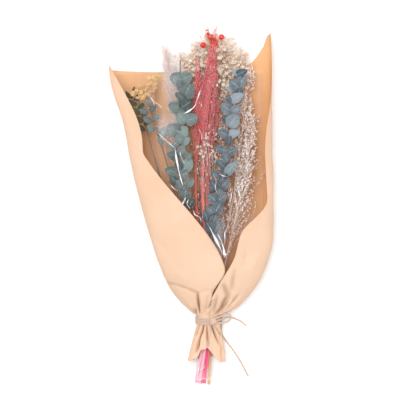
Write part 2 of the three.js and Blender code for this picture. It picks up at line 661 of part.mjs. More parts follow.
// The origin is the middle of the bunch's box on the ground, the twine's free ends left out.
bouquet.updateMatrixWorld(true);
const box = new THREE.Box3();
for (const mesh of bouquet.children) {
  if (!(mesh.name in cords)) box.expandByObject(mesh, true);
}
const middle = box.getCenter(new THREE.Vector3());
bouquet.position.set(-middle.x, -middle.y, -box.min.z);

export default bouquet;
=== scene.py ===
import math

import bpy
import numpy as np
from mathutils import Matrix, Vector, noise


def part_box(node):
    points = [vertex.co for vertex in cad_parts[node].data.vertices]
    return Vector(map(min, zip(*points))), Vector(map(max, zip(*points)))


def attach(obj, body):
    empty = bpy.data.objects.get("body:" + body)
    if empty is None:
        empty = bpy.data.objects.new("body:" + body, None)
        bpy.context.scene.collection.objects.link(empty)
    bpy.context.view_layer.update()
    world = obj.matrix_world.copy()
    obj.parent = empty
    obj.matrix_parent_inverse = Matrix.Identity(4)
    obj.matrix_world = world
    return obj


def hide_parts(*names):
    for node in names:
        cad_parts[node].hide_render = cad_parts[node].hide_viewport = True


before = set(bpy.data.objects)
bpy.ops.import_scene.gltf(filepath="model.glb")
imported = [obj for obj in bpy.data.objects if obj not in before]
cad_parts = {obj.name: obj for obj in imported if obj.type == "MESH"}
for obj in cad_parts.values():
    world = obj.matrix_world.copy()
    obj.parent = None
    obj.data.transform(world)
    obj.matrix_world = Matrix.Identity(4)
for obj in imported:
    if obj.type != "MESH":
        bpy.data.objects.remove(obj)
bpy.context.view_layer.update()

# A bunch of dried flowers on its back, in a sleeve of clear film and a cone of kraft paper.
#
# Shapes are worked out in bunch millimetres: X across, Y from the top of the tied neck towards
# the flower heads, and Z up from the surface. ORIGIN takes them into the frame, in metres.

MM = 0.001
NECK_LENGTH = 13.2
NECK_X = 2.0
tie_low, tie_high = (np.array(corner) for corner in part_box("twine_tie"))
tie_middle = (tie_low + tie_high) / 2
ORIGIN = np.array([tie_middle[0] - NECK_X * MM, tie_middle[1] + NECK_LENGTH / 2 * MM, 0.0])
UP = np.array([0.0, 0.0, 1.0])
# No point is lower than this above the floor.
FLOOR_GAP = 0.2


def to_frame(points):
    return np.asarray(points, float) * MM + ORIGIN


# -------- numbers

def smooth_curve(pairs, samples=400):
    """A function of x through [x, value] pairs, which never overshoots them."""
    xs = np.array([p[0] for p in pairs], float)
    vs = np.array([p[1] for p in pairs], float)
    slopes = np.diff(vs) / np.diff(xs)
    tangents = np.zeros(len(xs))
    tangents[0], tangents[-1] = slopes[0], slopes[-1]
    for i in range(1, len(xs) - 1):
        product = slopes[i - 1] * slopes[i]
        tangents[i] = 0 if product <= 0 else 2 * product / (slopes[i - 1] + slopes[i])
    at = np.linspace(xs[0], xs[-1], samples)
    k = np.clip(np.searchsorted(xs, at, side="right") - 1, 0, len(xs) - 2)
    span = xs[k + 1] - xs[k]
    s = (at - xs[k]) / span
    values = (
        vs[k] * (1 + 2 * s) * (1 - s) ** 2
        + vs[k + 1] * s * s * (3 - 2 * s)
        + span * (tangents[k] * s * (1 - s) ** 2 - tangents[k + 1] * s * s * (1 - s))
    )
    return lambda x: np.interp(x, at, values)


def unit(v):
    v = np.asarray(v, float)
    return v / np.maximum(np.linalg.norm(v, axis=-1, keepdims=True), 1e-12)


def wobble(points, size, seed):
    """Smooth noise from -1 to 1 at each point, with lumps of about that size."""
    shift = Vector((seed * 17.3, seed * 5.1, seed * 9.7))
    return np.array([noise.noise(Vector(p) / size + shift) for p in points])


def resample(points, step):
    """The same line with a point about every step, smoothed by a spline through its points."""
    points = np.asarray(points, float)
    ends = np.vstack([2 * points[0] - points[1], points, 2 * points[-1] - points[-2]])
    fine = []
    for i in range(1, len(ends) - 2):
        a, b, c, d = ends[i - 1], ends[i], ends[i + 1], ends[i + 2]
        count = max(1, int(np.ceil(np.linalg.norm(c - b) / step)))
        for k in range(count):
            s = k / count
            fine.append(
                0.5 * (2 * b + (c - a) * s + (2 * a - 5 * b + 4 * c - d) * s**2
                       + (3 * b - a - 3 * c + d) * s**3)
            )
    fine.append(points[-1])
    return np.array(fine)


# -------- meshes

class Clay:
    """Points and faces of one object, with named values at each point."""

    def __init__(self, *names):
        self.names = names
        self.points, self.faces, self.values = [], [], []
        self.count = 0

    def add(self, points, faces, **values):
        """faces is a list of arrays of point numbers, each array with one number of corners."""
        points = np.asarray(points, float).reshape(-1, 3)
        self.points.append(points)
        self.faces += [np.asarray(f, int) + self.count for f in faces if len(f)]
        row = [np.broadcast_to(values.get(name, 0.5), len(points)) for name in self.names]
        self.values.append(np.array(row, float).reshape(len(self.names), len(points)))
        self.count += len(points)


def make(name, clay, material, replaces=()):
    """Makes the object, rides it on the bunch and hides the CAD parts that it replaces."""
    mesh = bpy.data.meshes.new(name)
    points = to_frame(np.concatenate(clay.points))
    points[:, 2] = np.maximum(points[:, 2], FLOOR_GAP * MM)
    mesh.vertices.add(len(points))
    mesh.vertices.foreach_set("co", points.ravel())
    sizes = np.concatenate([np.full(len(f), f.shape[1]) for f in clay.faces])
    mesh.loops.add(int(sizes.sum()))
    mesh.loops.foreach_set("vertex_index", np.concatenate([f.ravel() for f in clay.faces]))
    mesh.polygons.add(len(sizes))
    mesh.polygons.foreach_set("loop_start", np.concatenate([[0], np.cumsum(sizes)[:-1]]))
    mesh.polygons.foreach_set("use_smooth", np.ones(len(sizes), bool))
    mesh.update(calc_edges=True)
    mesh.validate()
    values = np.concatenate(clay.values, axis=1)
    for i, attribute in enumerate(clay.names):
        mesh.attributes.new(attribute, "FLOAT", "POINT").data.foreach_set("value", values[i])
    piece = bpy.data.objects.new(name, mesh)
    bpy.context.scene.collection.objects.link(piece)
    mesh.materials.append(material)
    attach(piece, "root")
    if replaces:
        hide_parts(*replaces)
    return piece


def frames_along(points):
    """Side and upright directions at each point of a line, turned as little as can be."""
    ahead = unit(np.gradient(points, axis=0))
    side = unit(np.cross(ahead[0], UP if abs(ahead[0][2]) < 0.9 else np.array([1.0, 0, 0])))
    sides = []
    for a in ahead:
        side = unit(side - a * np.dot(side, a))
        sides.append(side)
    sides = np.array(sides)
    return sides, np.cross(sides, ahead), ahead


def sheet_faces(rows, columns, wrapped=False):
    """The quads of a grid of points, closed into a tube if it is wrapped."""
    last = columns if wrapped else columns - 1
    i, k = np.meshgrid(np.arange(rows - 1), np.arange(last), indexing="ij")
    a, b = i * columns + k, i * columns + (k + 1) % columns
    return np.stack([a, b, b + columns, a + columns], -1).reshape(-1, 4)


def tube_faces(rings, sides):
    caps = np.array([np.arange(sides)[::-1], (rings - 1) * sides + np.arange(sides)])
    return [sheet_faces(rings, sides, wrapped=True), caps]


def tube(clay, points, radii, sides=6, **values):
    points = np.asarray(points, float)
    radii = np.broadcast_to(radii, len(points))
    side, upright, _ = frames_along(points)
    turn = np.linspace(0, 2 * np.pi, sides, endpoint=False)
    rim = side[:, None] * np.cos(turn)[None, :, None] + upright[:, None] * np.sin(turn)[None, :, None]
    ring = points[:, None] + rim * radii[:, None, None]
    spread = {k: np.repeat(np.broadcast_to(v, len(points)), sides) for k, v in values.items()}
    clay.add(ring.reshape(-1, 3), tube_faces(len(points), sides), **spread)


def ball(columns, rows):
    """The points and faces of a round ball of radius 1, with its poles on Z."""
    rise = np.linspace(0, np.pi, rows + 1)[1:-1]
    turn = np.linspace(0, 2 * np.pi, columns, endpoint=False)
    rings = [[np.cos(t) * np.sin(r), np.sin(t) * np.sin(r), np.cos(r)] for r in rise for t in turn]
    points = np.array(rings + [[0, 0, 1], [0, 0, -1]])
    top, bottom = len(points) - 2, len(points) - 1
    k = np.arange(columns)
    after = (k + 1) % columns
    i = np.repeat(np.arange(rows - 2), columns) * columns
    here, beside = i + np.tile(k, rows - 2), i + np.tile(after, rows - 2)
    quads = np.stack([here, here + columns, beside + columns, beside], -1)
    last = (rows - 2) * columns
    caps = np.vstack([np.stack([np.full(columns, top), k, after], -1),
                      np.stack([np.full(columns, bottom), last + after, last + k], -1)])
    return points, [quads, caps]


def frames_for(directions, rng):
    """A turned frame for each direction, as rows of its X, Y and Z."""
    z = unit(directions)
    x = unit(np.cross(z, unit(rng.normal(size=z.shape))))
    return np.stack([x, np.cross(z, x), z], 1)


def scatter(clay, form, places, turns, scales, **values):
    """A copy of form, (points, faces), at each place."""
    points, faces = form
    scales = np.asarray(scales, float).reshape(len(places), -1)
    shaped = points[None] * (scales if scales.shape[1] == 3 else np.repeat(scales, 3, 1))[:, None]
    moved = np.einsum("nij,njk->nik", shaped, turns) + np.asarray(places)[:, None]
    step = (np.arange(len(places)) * len(points))[:, None, None]
    spread = {k: np.repeat(v, len(points)) if len(np.shape(v)) else v for k, v in values.items()}
    clay.add(moved, [(f[None] + step).reshape(-1, f.shape[1]) for f in faces], **spread)


# -------- materials

class Nodes:
    """A material's node tree, with a Principled shader to start from."""

    def __init__(self, name, **sockets):
        self.material = bpy.data.materials.new(name)
        self.material.use_nodes = True
        self.tree = self.material.node_tree
        self.shader = self.tree.nodes["Principled BSDF"]
        self.output = self.tree.nodes["Material Output"]
        for socket, value in sockets.items():
            self.shader.inputs[socket.replace("_", " ")].default_value = value

    def add(self, kind, settings=None, **links):
        """A new node. Values go to its sockets, and so do other nodes' sockets, as links."""
        node = self.tree.nodes.new(kind)
        for key, value in (settings or {}).items():
            setattr(node, key, value)
        for socket, value in links.items():
            at = node.inputs[int(socket[1:]) if socket[0] == "_" else socket.replace("_", " ")]
            if isinstance(value, bpy.types.NodeSocket):
                self.tree.links.new(value, at)
            else:
                at.default_value = value
        return node

    def link(self, source, target):
        self.tree.links.new(source, target)

    def place(self, stretch=(1, 1, 1)):
        """Places on the object in millimetres, stretched."""
        coordinates = self.add("ShaderNodeTexCoord").outputs["Object"]
        scale = [1000 / s for s in stretch]
        return self.add("ShaderNodeMapping", Vector=coordinates, Scale=scale).outputs[0]

    def noise(self, size, detail=3.0, stretch=(1, 1, 1), roughness=0.5):
        """Noise from 0 to 1, with lumps of about size millimetres."""
        node = self.add("ShaderNodeTexNoise", Vector=self.place(stretch), Scale=1 / size,
                        Detail=detail, Roughness=roughness)
        return node.outputs[0]

    def value(self, name):
        """The number stored under that name at each point."""
        return self.add("ShaderNodeAttribute", {"attribute_name": name}).outputs["Fac"]

    def maths(self, operation, a, b=0.5, clamp=False):
        node = self.add("ShaderNodeMath", {"operation": operation, "use_clamp": clamp}, _0=a, _1=b)
        return node.outputs[0]

    def ramp(self, factor, *stops):
        """A colour for a number: stops are (place, (r, g, b))."""
        node = self.add("ShaderNodeValToRGB", Fac=factor)
        elements = node.color_ramp.elements
        while len(elements) < len(stops):
            elements.new(0.5)
        for element, (place, colour) in zip(elements, stops):
            element.position = place
            element.color = (*colour, 1)
        return node.outputs[0]

    def steps(self, factor, low, high, start=0.0, end=1.0):
        """A number that eases from start to end while factor goes from low to high."""
        node = self.add("ShaderNodeMapRange", {"interpolation_type": "SMOOTHSTEP"}, Value=factor,
                        From_Min=low, From_Max=high, To_Min=start, To_Max=end)
        return node.outputs[0]

    def blend(self, factor, a, b):
        """A colour between a and b. The numbers are the sockets that a Mix node has for colours."""
        node = self.add("ShaderNodeMix", {"data_type": "RGBA"})
        for socket, value in ((0, factor), (6, a), (7, b)):
            if isinstance(value, bpy.types.NodeSocket):
                self.link(value, node.inputs[socket])
            else:
                node.inputs[socket].default_value = value if socket == 0 else (*value, 1)
        return node.outputs[2]

    def bump(self, height, distance, strength=1.0, normal=None):
        """Relief that is distance millimetres deep, on top of another one's normal if given."""
        links = {"Normal": normal} if normal else {}
        node = self.add("ShaderNodeBump", Height=height, Distance=distance * MM, Strength=strength,
                        **links)
        return node.outputs[0]

    def tone(self, texture, share):
        """A texture and the tint stored at each point, added up: the texture counts for share."""
        tint = self.maths("MULTIPLY", self.value("tint"), 1 - share)
        return self.maths("ADD", self.maths("MULTIPLY", texture, share), tint)

    def colour(self, socket):
        self.link(socket, self.shader.inputs["Base Color"])

    def relief(self, normal):
        self.link(normal, self.shader.inputs["Normal"])

    def mix_shaders(self, share, first, second):
        """Ends the tree with two shaders mixed, of which the second has that share."""
        ends = {"_1": first.outputs[0], "_2": second.outputs[0]}
        mix = self.add("ShaderNodeMixShader", _0=share, **ends)
        self.link(mix.outputs[0], self.output.inputs[0])

    def translucent(self, colour, share):
        """Lets some light through, as thin dry petals and paper do."""
        through = self.add("ShaderNodeBsdfTranslucent", Color=(*colour, 1))
        self.mix_shaders(share, self.shader, through)


# The paper's painted shade deep inside the cone and in a fold's bottom, and its colour in light shining
# through.
KRAFT_DEEP_SHADE = (0.60, 0.300, 0.120)
KRAFT_CREASE_SHADE = (0.40, 0.185, 0.070)
KRAFT_GLOW = (1.0, 0.62, 0.29)


def kraft_material(name, dark, light, deep=0.0):
    """Brown paper: deep is how far its colour is painted towards a darker orange down inside the cone, as
    painted shade.
    """
    n = Nodes(name, Roughness=0.78, Specular_IOR_Level=0.25)
    fibres = n.noise(1.1, 4, stretch=(1, 7, 1), roughness=0.65)
    flecks = n.noise(0.5, 2, stretch=(1, 3, 1))
    base = n.ramp(n.noise(60, 2), (0.3, dark), (0.7, light))
    base = n.blend(n.steps(fibres, 0.35, 0.7, 0.0, 0.30), base, [0.86 * c for c in dark])
    base = n.blend(n.steps(flecks, 0.66, 0.74, 0.0, 0.35), base, [0.68 * c for c in dark])
    # Painted shade: the colour goes to a darker orange deep inside the cone.
    base = n.blend(n.maths("MULTIPLY", n.value("inside"), deep), base, KRAFT_DEEP_SHADE)
    # Painted shade: the bottoms of the folds are darkened.
    n.colour(n.blend(n.value("crease"), base, KRAFT_CREASE_SHADE))
    ribs = n.bump(n.noise(1.4, 3, stretch=(1, 12, 1)), 0.06, 0.5)
    n.relief(n.bump(n.noise(16, 4, roughness=0.55), 1.2, 0.45, ribs))
    n.translucent(KRAFT_GLOW, 0.25)
    return n.material


def film_material(name, body, edge, haze):
    """Clear film: body and edge are how much of it shines face on and at a glance."""
    n = Nodes(name, Base_Color=(0.93, 0.93, 0.97, 1), Roughness=0.12, Coat_Weight=0.6)
    clear = n.add("ShaderNodeBsdfTransparent", Color=(0.97, 0.975, 0.985, 1))
    facing = n.add("ShaderNodeLayerWeight", Blend=0.35).outputs["Facing"]
    glance = n.maths("MULTIPLY", n.maths("POWER", facing, 2.5), edge)
    creases = n.steps(n.noise(9, 3, stretch=(1, 2.5, 1), roughness=0.6), 0.62, 0.80, 0, 0.06)
    # Milky patches: partly the film's own cloudiness, partly painted glare.
    milky_and_glare = n.maths("MULTIPLY", n.value("haze"), haze)
    total = n.maths("ADD", n.maths("ADD", glance, creases), milky_and_glare)
    n.mix_shaders(n.maths("ADD", total, body, clamp=True), clear, n.shader)
    n.relief(n.bump(n.noise(14, 3, stretch=(1, 2.2, 1)), 1.6, 0.6))
    return n.material


def jute_material():
    n = Nodes("jute", Roughness=0.92, Sheen_Weight=0.3)
    strands = n.noise(0.35, 3, roughness=0.7)
    base = n.ramp(strands, (0.3, (0.42, 0.29, 0.21)), (0.75, (0.80, 0.60, 0.49)))
    n.colour(n.blend(n.steps(n.noise(6, 2), 0.3, 0.7, 0, 0.4), base, (0.68, 0.49, 0.39)))
    n.relief(n.bump(strands, 0.15, 0.8))
    return n.material


# How much of the light that a thin dry leaf or petal takes comes out of its other side.
GLOW = 0.12


def leaf_material(name, dark, light, rib, rim):
    """A dry leaf: rib and rim are the colours of its midrib and of its edge."""
    n = Nodes(name, Roughness=0.58, Specular_IOR_Level=0.35, Sheen_Weight=0.15)
    base = n.ramp(n.tone(n.noise(5, 4, roughness=0.6), 0.5), (0.25, dark), (0.72, light))
    across, along = n.value("across"), n.value("along")
    slant = n.maths("SUBTRACT", n.maths("MULTIPLY", along, 26.0), n.maths("MULTIPLY", across, 9.0))
    veins = n.maths("ABSOLUTE", n.maths("SINE", slant))
    base = n.blend(n.steps(veins, 0.14, 0.0, 0.0, 0.35), base, rib)
    base = n.blend(n.steps(across, 0.07, 0.02, 0.0, 0.75), base, rib)
    base = n.blend(n.steps(across, 0.90, 1.0, 0.0, 0.55), base, rim)
    spots = n.steps(n.noise(1.3, 2), 0.72, 0.78, 0.0, 0.5)
    n.colour(n.blend(spots, base, [0.45 * c for c in dark]))
    fine = n.bump(veins, 0.12, 0.6)
    n.relief(n.bump(n.noise(2.2, 4), 0.25, 0.5, fine))
    n.translucent(light, GLOW)
    return n.material


def petal_material(name, dark, light, size=1.2, glow=GLOW):
    """Dry petals, buds and hairs, from dark to light by each one's tint and by fine mottling."""
    n = Nodes(name, Roughness=0.85, Specular_IOR_Level=0.2, Sheen_Weight=0.2)
    mottle = n.noise(size, 3)
    n.colour(n.ramp(n.tone(mottle, 0.4), (0.15, dark), (0.8, light)))
    n.relief(n.bump(mottle, 0.2, 0.6))
    n.translucent(light, glow)
    return n.material


def bark_material(name, dark, light, cut=None):
    """Stems: streaks run along them, and cut is the colour that they are dyed below the tie."""
    n = Nodes(name, Roughness=0.7)
    streaks = n.noise(0.7, 4, stretch=(1, 9, 1), roughness=0.6)
    base = n.ramp(n.tone(streaks, 0.6), (0.25, dark), (0.75, light))
    if cut:
        streaked = n.ramp(streaks, (0.2, [0.7 * c for c in cut]), (0.7, cut))
        base = n.blend(n.value("dye"), base, streaked)
    n.colour(base)
    n.relief(n.bump(streaks, 0.18, 0.7))
    return n.material


def berry_material():
    n = Nodes("berry_skin", Roughness=0.28, Coat_Weight=0.4, Coat_Roughness=0.15)
    base = n.ramp(n.noise(2.4, 3), (0.3, (0.50, 0.006, 0.010)), (0.7, (0.80, 0.022, 0.028)))
    n.colour(n.blend(n.steps(n.noise(0.8, 2), 0.7, 0.76, 0, 0.5), base, (0.9, 0.30, 0.22)))
    n.relief(n.bump(n.noise(1.5, 3), 0.12, 0.4))
    return n.material


KRAFT = kraft_material("kraft_paper", (0.825, 0.600, 0.425), (0.885, 0.665, 0.495))
# The inside is the same paper in a darker, more orange colour: painted shade and warm bounce light inside
# the cone.
KRAFT_INSIDE_SHADED = kraft_material("kraft_paper_inside_shaded", (0.91, 0.540, 0.265), (0.97, 0.610, 0.325), 0.32)
FILM = film_material("clear_film", 0.012, 0.45, 0.8)
# Mostly opaque white film for the folds: partly creased film's whitening, partly painted glints.
FILM_FOLD_GLINT = film_material("clear_film_fold_glint", 0.72, 0.3, 0.5)
JUTE = jute_material()
EUCALYPTUS = leaf_material("eucalyptus_leaf", (0.022, 0.042, 0.038), (0.20, 0.258, 0.238),
                           (0.27, 0.34, 0.33), (0.30, 0.29, 0.27))
EUCALYPTUS_BLUE = leaf_material("eucalyptus_leaf_blue", (0.045, 0.068, 0.084), (0.28, 0.325, 0.355),
                                (0.40, 0.46, 0.49), (0.40, 0.41, 0.42))
RUSCUS_LEAF = leaf_material("ruscus_leaf", (0.020, 0.032, 0.014), (0.105, 0.135, 0.070),
                            (0.11, 0.13, 0.07), (0.08, 0.07, 0.03))
BARK = bark_material("brown_bark", (0.10, 0.065, 0.045), (0.34, 0.24, 0.18))
RED_STEM = bark_material("red_stem", (0.66, 0.090, 0.080), (1.0, 0.38, 0.34), (0.98, 0.14, 0.27))
PINK_STEM = bark_material("pink_stem", (0.60, 0.050, 0.030), (1.0, 0.20, 0.13), (1.0, 0.56, 0.64))
TAN_STEM = bark_material("tan_stem", (0.50, 0.28, 0.12), (0.80, 0.50, 0.26))
STRAW = bark_material("straw_twig", (0.56, 0.34, 0.22), (0.92, 0.72, 0.56))
PALE_TWIG = bark_material("pale_twig", (0.64, 0.44, 0.34), (0.95, 0.80, 0.70))
CREAM_PETAL = petal_material("cream_petal", (0.85, 0.51, 0.37), (1.0, 0.88, 0.74))
WHITE_BUD = petal_material("statice_bud", (0.80, 0.57, 0.47), (1.0, 0.94, 0.88))
YELLOW_PETAL = petal_material("yellow_petal", (0.80, 0.38, 0.10), (1.0, 0.74, 0.38))
FILLER_BUD = petal_material("filler_bud", (0.20, 0.075, 0.05), (1.0, 0.74, 0.64), 0.7, 0.1)
RED_SEED = petal_material("red_seed", (0.62, 0.030, 0.075), (1.0, 0.34, 0.34), 0.9)
PLUME_HAIR = petal_material("plume_hair", (0.90, 0.66, 0.58), (1.0, 0.92, 0.88))
BERRY_SKIN = berry_material()

# -------- the paper's outline

CONE_LENGTH = (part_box("kraft_paper_wrap")[1][1] - ORIGIN[1]) / MM
CONE_WIDTH = 234.0
CONE_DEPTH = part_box("kraft_paper_wrap")[1][2] / MM
SKIRT_LENGTH = 52.0
NECK_HALF_WIDTH = 16.5
NECK_HALF_DEPTH = 13.9
NECK_LIFT = 3.0
NECK_TOP = NECK_LIFT + 2 * NECK_HALF_DEPTH
NECK_MIDDLE = NECK_LIFT + NECK_HALF_DEPTH
# How far the skirt stands out past the neck on the left, on the right and at the top.
FLARE_LEFT, FLARE_RIGHT, FLARE_TOP = 11, 6, 5
# How far inside the paper the film is.
FILM_DEPTH = 2.6

# The outline's curves, most of them in shares of the cone's length and width, as in the CAD.
widens_left = smooth_curve([
    [0, 0], [0.012, 0.03], [0.04, 0.085], [0.09, 0.155], [0.16, 0.215], [0.27, 0.28],
    [0.53, 0.395], [0.69, 0.45], [0.83, 0.52], [0.9, 0.534], [1, 0.54],
])
widens_right = smooth_curve([
    [0, 0], [0.012, 0.055], [0.035, 0.118], [0.075, 0.18], [0.127, 0.24], [0.19, 0.283],
    [0.27, 0.313], [0.5, 0.325], [0.6, 0.315], [0.94, 0.313], [1, 0.302],
])
rises = smooth_curve([[0, 0], [0.05, 0.32], [0.16, 0.72], [0.35, 1], [0.8, 0.95], [1, 0.6]])
squareness = smooth_curve([[0, 2.4], [0.15, 3]])
left_flap_edge = smooth_curve([
    [0, 0.01], [0.08, 0.03], [0.165, 0.105], [0.185, 0.098], [0.54, -0.345],
    [0.575, -0.38], [0.62, -0.385], [0.905, -0.6],
])
right_flap_edge = smooth_curve([
    [0, -0.034], [0.12, 0.075], [0.21, 0.162], [0.29, 0.198], [0.4, 0.355], [0.42, 0.36],
    [0.59, 0.342], [0.83, 0.386], [1, 0.382],
])
top_edge = smooth_curve([
    [0, 0.903], [0.05, 0.873], [0.6, 0.868], [0.64, 0.873], [0.7, 0.912], [0.77, 0.955],
    [0.88, 0.99], [1, 1],
])
skirt_edge = smooth_curve([
    [0, 0.54], [0.06, 0.7], [0.14, 0.97], [0.3, 1], [0.5, 0.92], [0.75, 1], [0.88, 0.97],
    [0.92, 0.74], [1, 0.54],
])
# The height of the paper's underside, and how far the oval of its section goes on below that,
# which leaves the underside flat.
lands = smooth_curve([
    [-NECK_LENGTH - 0.5 * SKIRT_LENGTH, 0], [-NECK_LENGTH, NECK_LIFT], [1, NECK_LIFT], [28, 0],
])
presses = smooth_curve([[-NECK_LENGTH - 20, 2], [-NECK_LENGTH, 0], [0, 0], [30, 2]])


def cone_share(y):
    return np.maximum(0, y) / CONE_LENGTH


def skirt_share(y):
    return np.maximum(0, -np.asarray(y) - NECK_LENGTH) / SKIRT_LENGTH


def paper_top(y):
    return NECK_TOP + (CONE_DEPTH - NECK_TOP) * rises(cone_share(y)) + FLARE_TOP * skirt_share(y)


def oval_of(left, right, low, high, floor, square):
    """A section across the bunch. square is 2 for an ellipse, and more for squarer corners."""
    return {"x": (left + right) / 2, "z": (low + high) / 2, "half_width": (right - left) / 2,
            "half_depth": (high - low) / 2, "floor": floor, "square": square}


def paper_oval(y):
    share, flare = cone_share(y), skirt_share(y)
    left = NECK_X - NECK_HALF_WIDTH - CONE_WIDTH * widens_left(share) - FLARE_LEFT * flare
    right = NECK_X + NECK_HALF_WIDTH + CONE_WIDTH * widens_right(share) + FLARE_RIGHT * flare
    floor = lands(y)
    return oval_of(left, right, floor - presses(y), paper_top(y), floor, squareness(share))


def on_oval(oval, turn, depth):
    """(x, z) at a turn from the top, round by the left, moved in by depth."""
    power = 2 / oval["square"]

    def place(t):
        across, up = np.sin(t), np.cos(t)
        x = oval["x"] - oval["half_width"] * np.sign(across) * np.abs(across) ** power
        z = oval["z"] + oval["half_depth"] * np.sign(up) * np.abs(up) ** power
        return np.stack([x, np.maximum(oval["floor"], z)], -1)

    along = unit(place(turn + 0.02) - place(turn - 0.02))
    inward = np.stack([-along[..., 1], along[..., 0]], -1)
    return place(turn) + inward * np.asarray(depth)[..., None]


def turn_at(oval, x):
    """The turn at which the top of the oval passes x."""
    reach = np.clip((oval["x"] - x) / oval["half_width"], -1, 1)
    return np.arcsin(np.sign(reach) * np.abs(reach) ** (oval["square"] / 2))


def segment_distance(x, y, start, end):
    """Distance from each (x, y) to a line between two points, and how far along it that is."""
    (x0, y0), (x1, y1) = start, end
    dx, dy = x1 - x0, y1 - y0
    along = np.clip(((x - x0) * dx + (y - y0) * dy) / (dx * dx + dy * dy), 0, 1)
    return np.hypot(x - x0 - along * dx, y - y0 - along * dy), along


# -------- kraft paper

# Folds in the front of the paper: start, end, half width and depth. A ridge has depth below 0.
PAPER_FOLDS = [
    ((-14, 33), (-11.5, 4), 1.5, 6.5),
    ((-17, 9), (-21, -1), 3.0, 6.5),
    ((-58, 47), (-44, 45), 1.6, 2.8),
    ((-44, 45), (-29, 40), 1.7, 2.9),
    ((-29, 40), (-13, 33), 1.7, 3.2),
    ((-12, 34), (2, 37), 2.0, 1.4),
    ((7, 24), (0, 9), 1.5, 3.4),
    ((-7, 26), (-7, 4), 2.0, -2.2),
    ((1, 30), (-3, 6), 1.4, 2.4),
    ((22, 46), (30, 28), 3.4, 3.6),
    ((30, 30), (20, 14), 2.8, 4.4),
    ((38, 66), (34, 38), 3.0, 2.6),
    ((14, 30), (9, 5), 1.6, 3.6),
    ((28, 21), (14, 3), 2.2, 5.0),
    ((36, 22), (22, 7), 1.8, -2.6),
    ((44, 30), (30, 14), 2.2, 3.0),
    ((70, 86), (60, 60), 5.0, -1.6),
    ((58, 96), (50, 70), 4.0, 1.5),
    ((-46, 64), (-28, 52), 5.0, -1.2),
    ((-72, 110), (-50, 86), 6.0, 1.2),
    ((84, 165), (78, 210), 5.0, 1.4),
    ((-5, -11), (-17, -50), 2.0, 6.0),
    ((-11, -12), (-23, -40), 1.5, 3.6),
    ((-1, -13), (1, -42), 1.7, 5.0),
    ((6, -12), (17, -38), 2.2, 6.0),
    ((10, -12), (24, -32), 1.6, 3.6),
    ((1, -14), (9, -50), 2.0, -2.4),
    ((-8, -14), (-10, -58), 1.8, -2.8),
]
PAPER_ROWS = {"skirt": 48, "neck": 6, "cone": 160}
PAPER_COLUMNS = 230
PAPER_THICK = 0.3
# The inside of the paper is painted a darker orange from PAPER_SHADE_TOP down, over PAPER_SHADE_DEPTH:
# painted shade deep in the cone.
PAPER_SHADE_TOP = 345
PAPER_SHADE_DEPTH = 80
# The pleats by the tie and the fans of the skirt: how many there are, and how deep.
PLEATS, PLEAT_DEPTH = 11, 3.6
FANS, FAN_DEPTH = 8, 5.0
# Each fold is pressed this many times its listed depth.
FOLD_STRENGTH = 1.25
# The right flap is tucked this far under the left one.
TUCK = 1.3
# The paper's two edges curl up by EDGE_CURL over this share of its width.
EDGE_CURL, EDGE_SHARE = 1.6, 0.05
# Its unevenness: the size of the lumps and how far they stand out. Crumples are only by the tie.
SWELL, RIPPLE, CRUMPLE = (55, 1.6), (17, 0.5), (7, 3.0)


def paper_pleats(y, turn):
    """How far the gathered paper stands out: sharp pleats by the tie and soft ones in the skirt."""
    waves = PLEATS * turn / (2 * np.pi) + 0.35 * np.sin(3 * turn) + 0.2 * np.sin(7 * turn)
    sharp = 1 - 2 * np.abs((waves % 1) - 0.5)
    near = np.where(y > 0, np.exp(-np.maximum(0, y) / 22) * np.minimum(1, np.maximum(0, y) / 5), 0)
    fan = 0.5 + 0.5 * np.sin(FANS * turn + 0.8 * np.sin(5 * turn) + 0.4)
    skirt = skirt_share(y) ** 0.7 * (np.abs(fan) ** 0.7 - 0.35)
    return PLEAT_DEPTH * near * (sharp - 0.5) + FAN_DEPTH * skirt


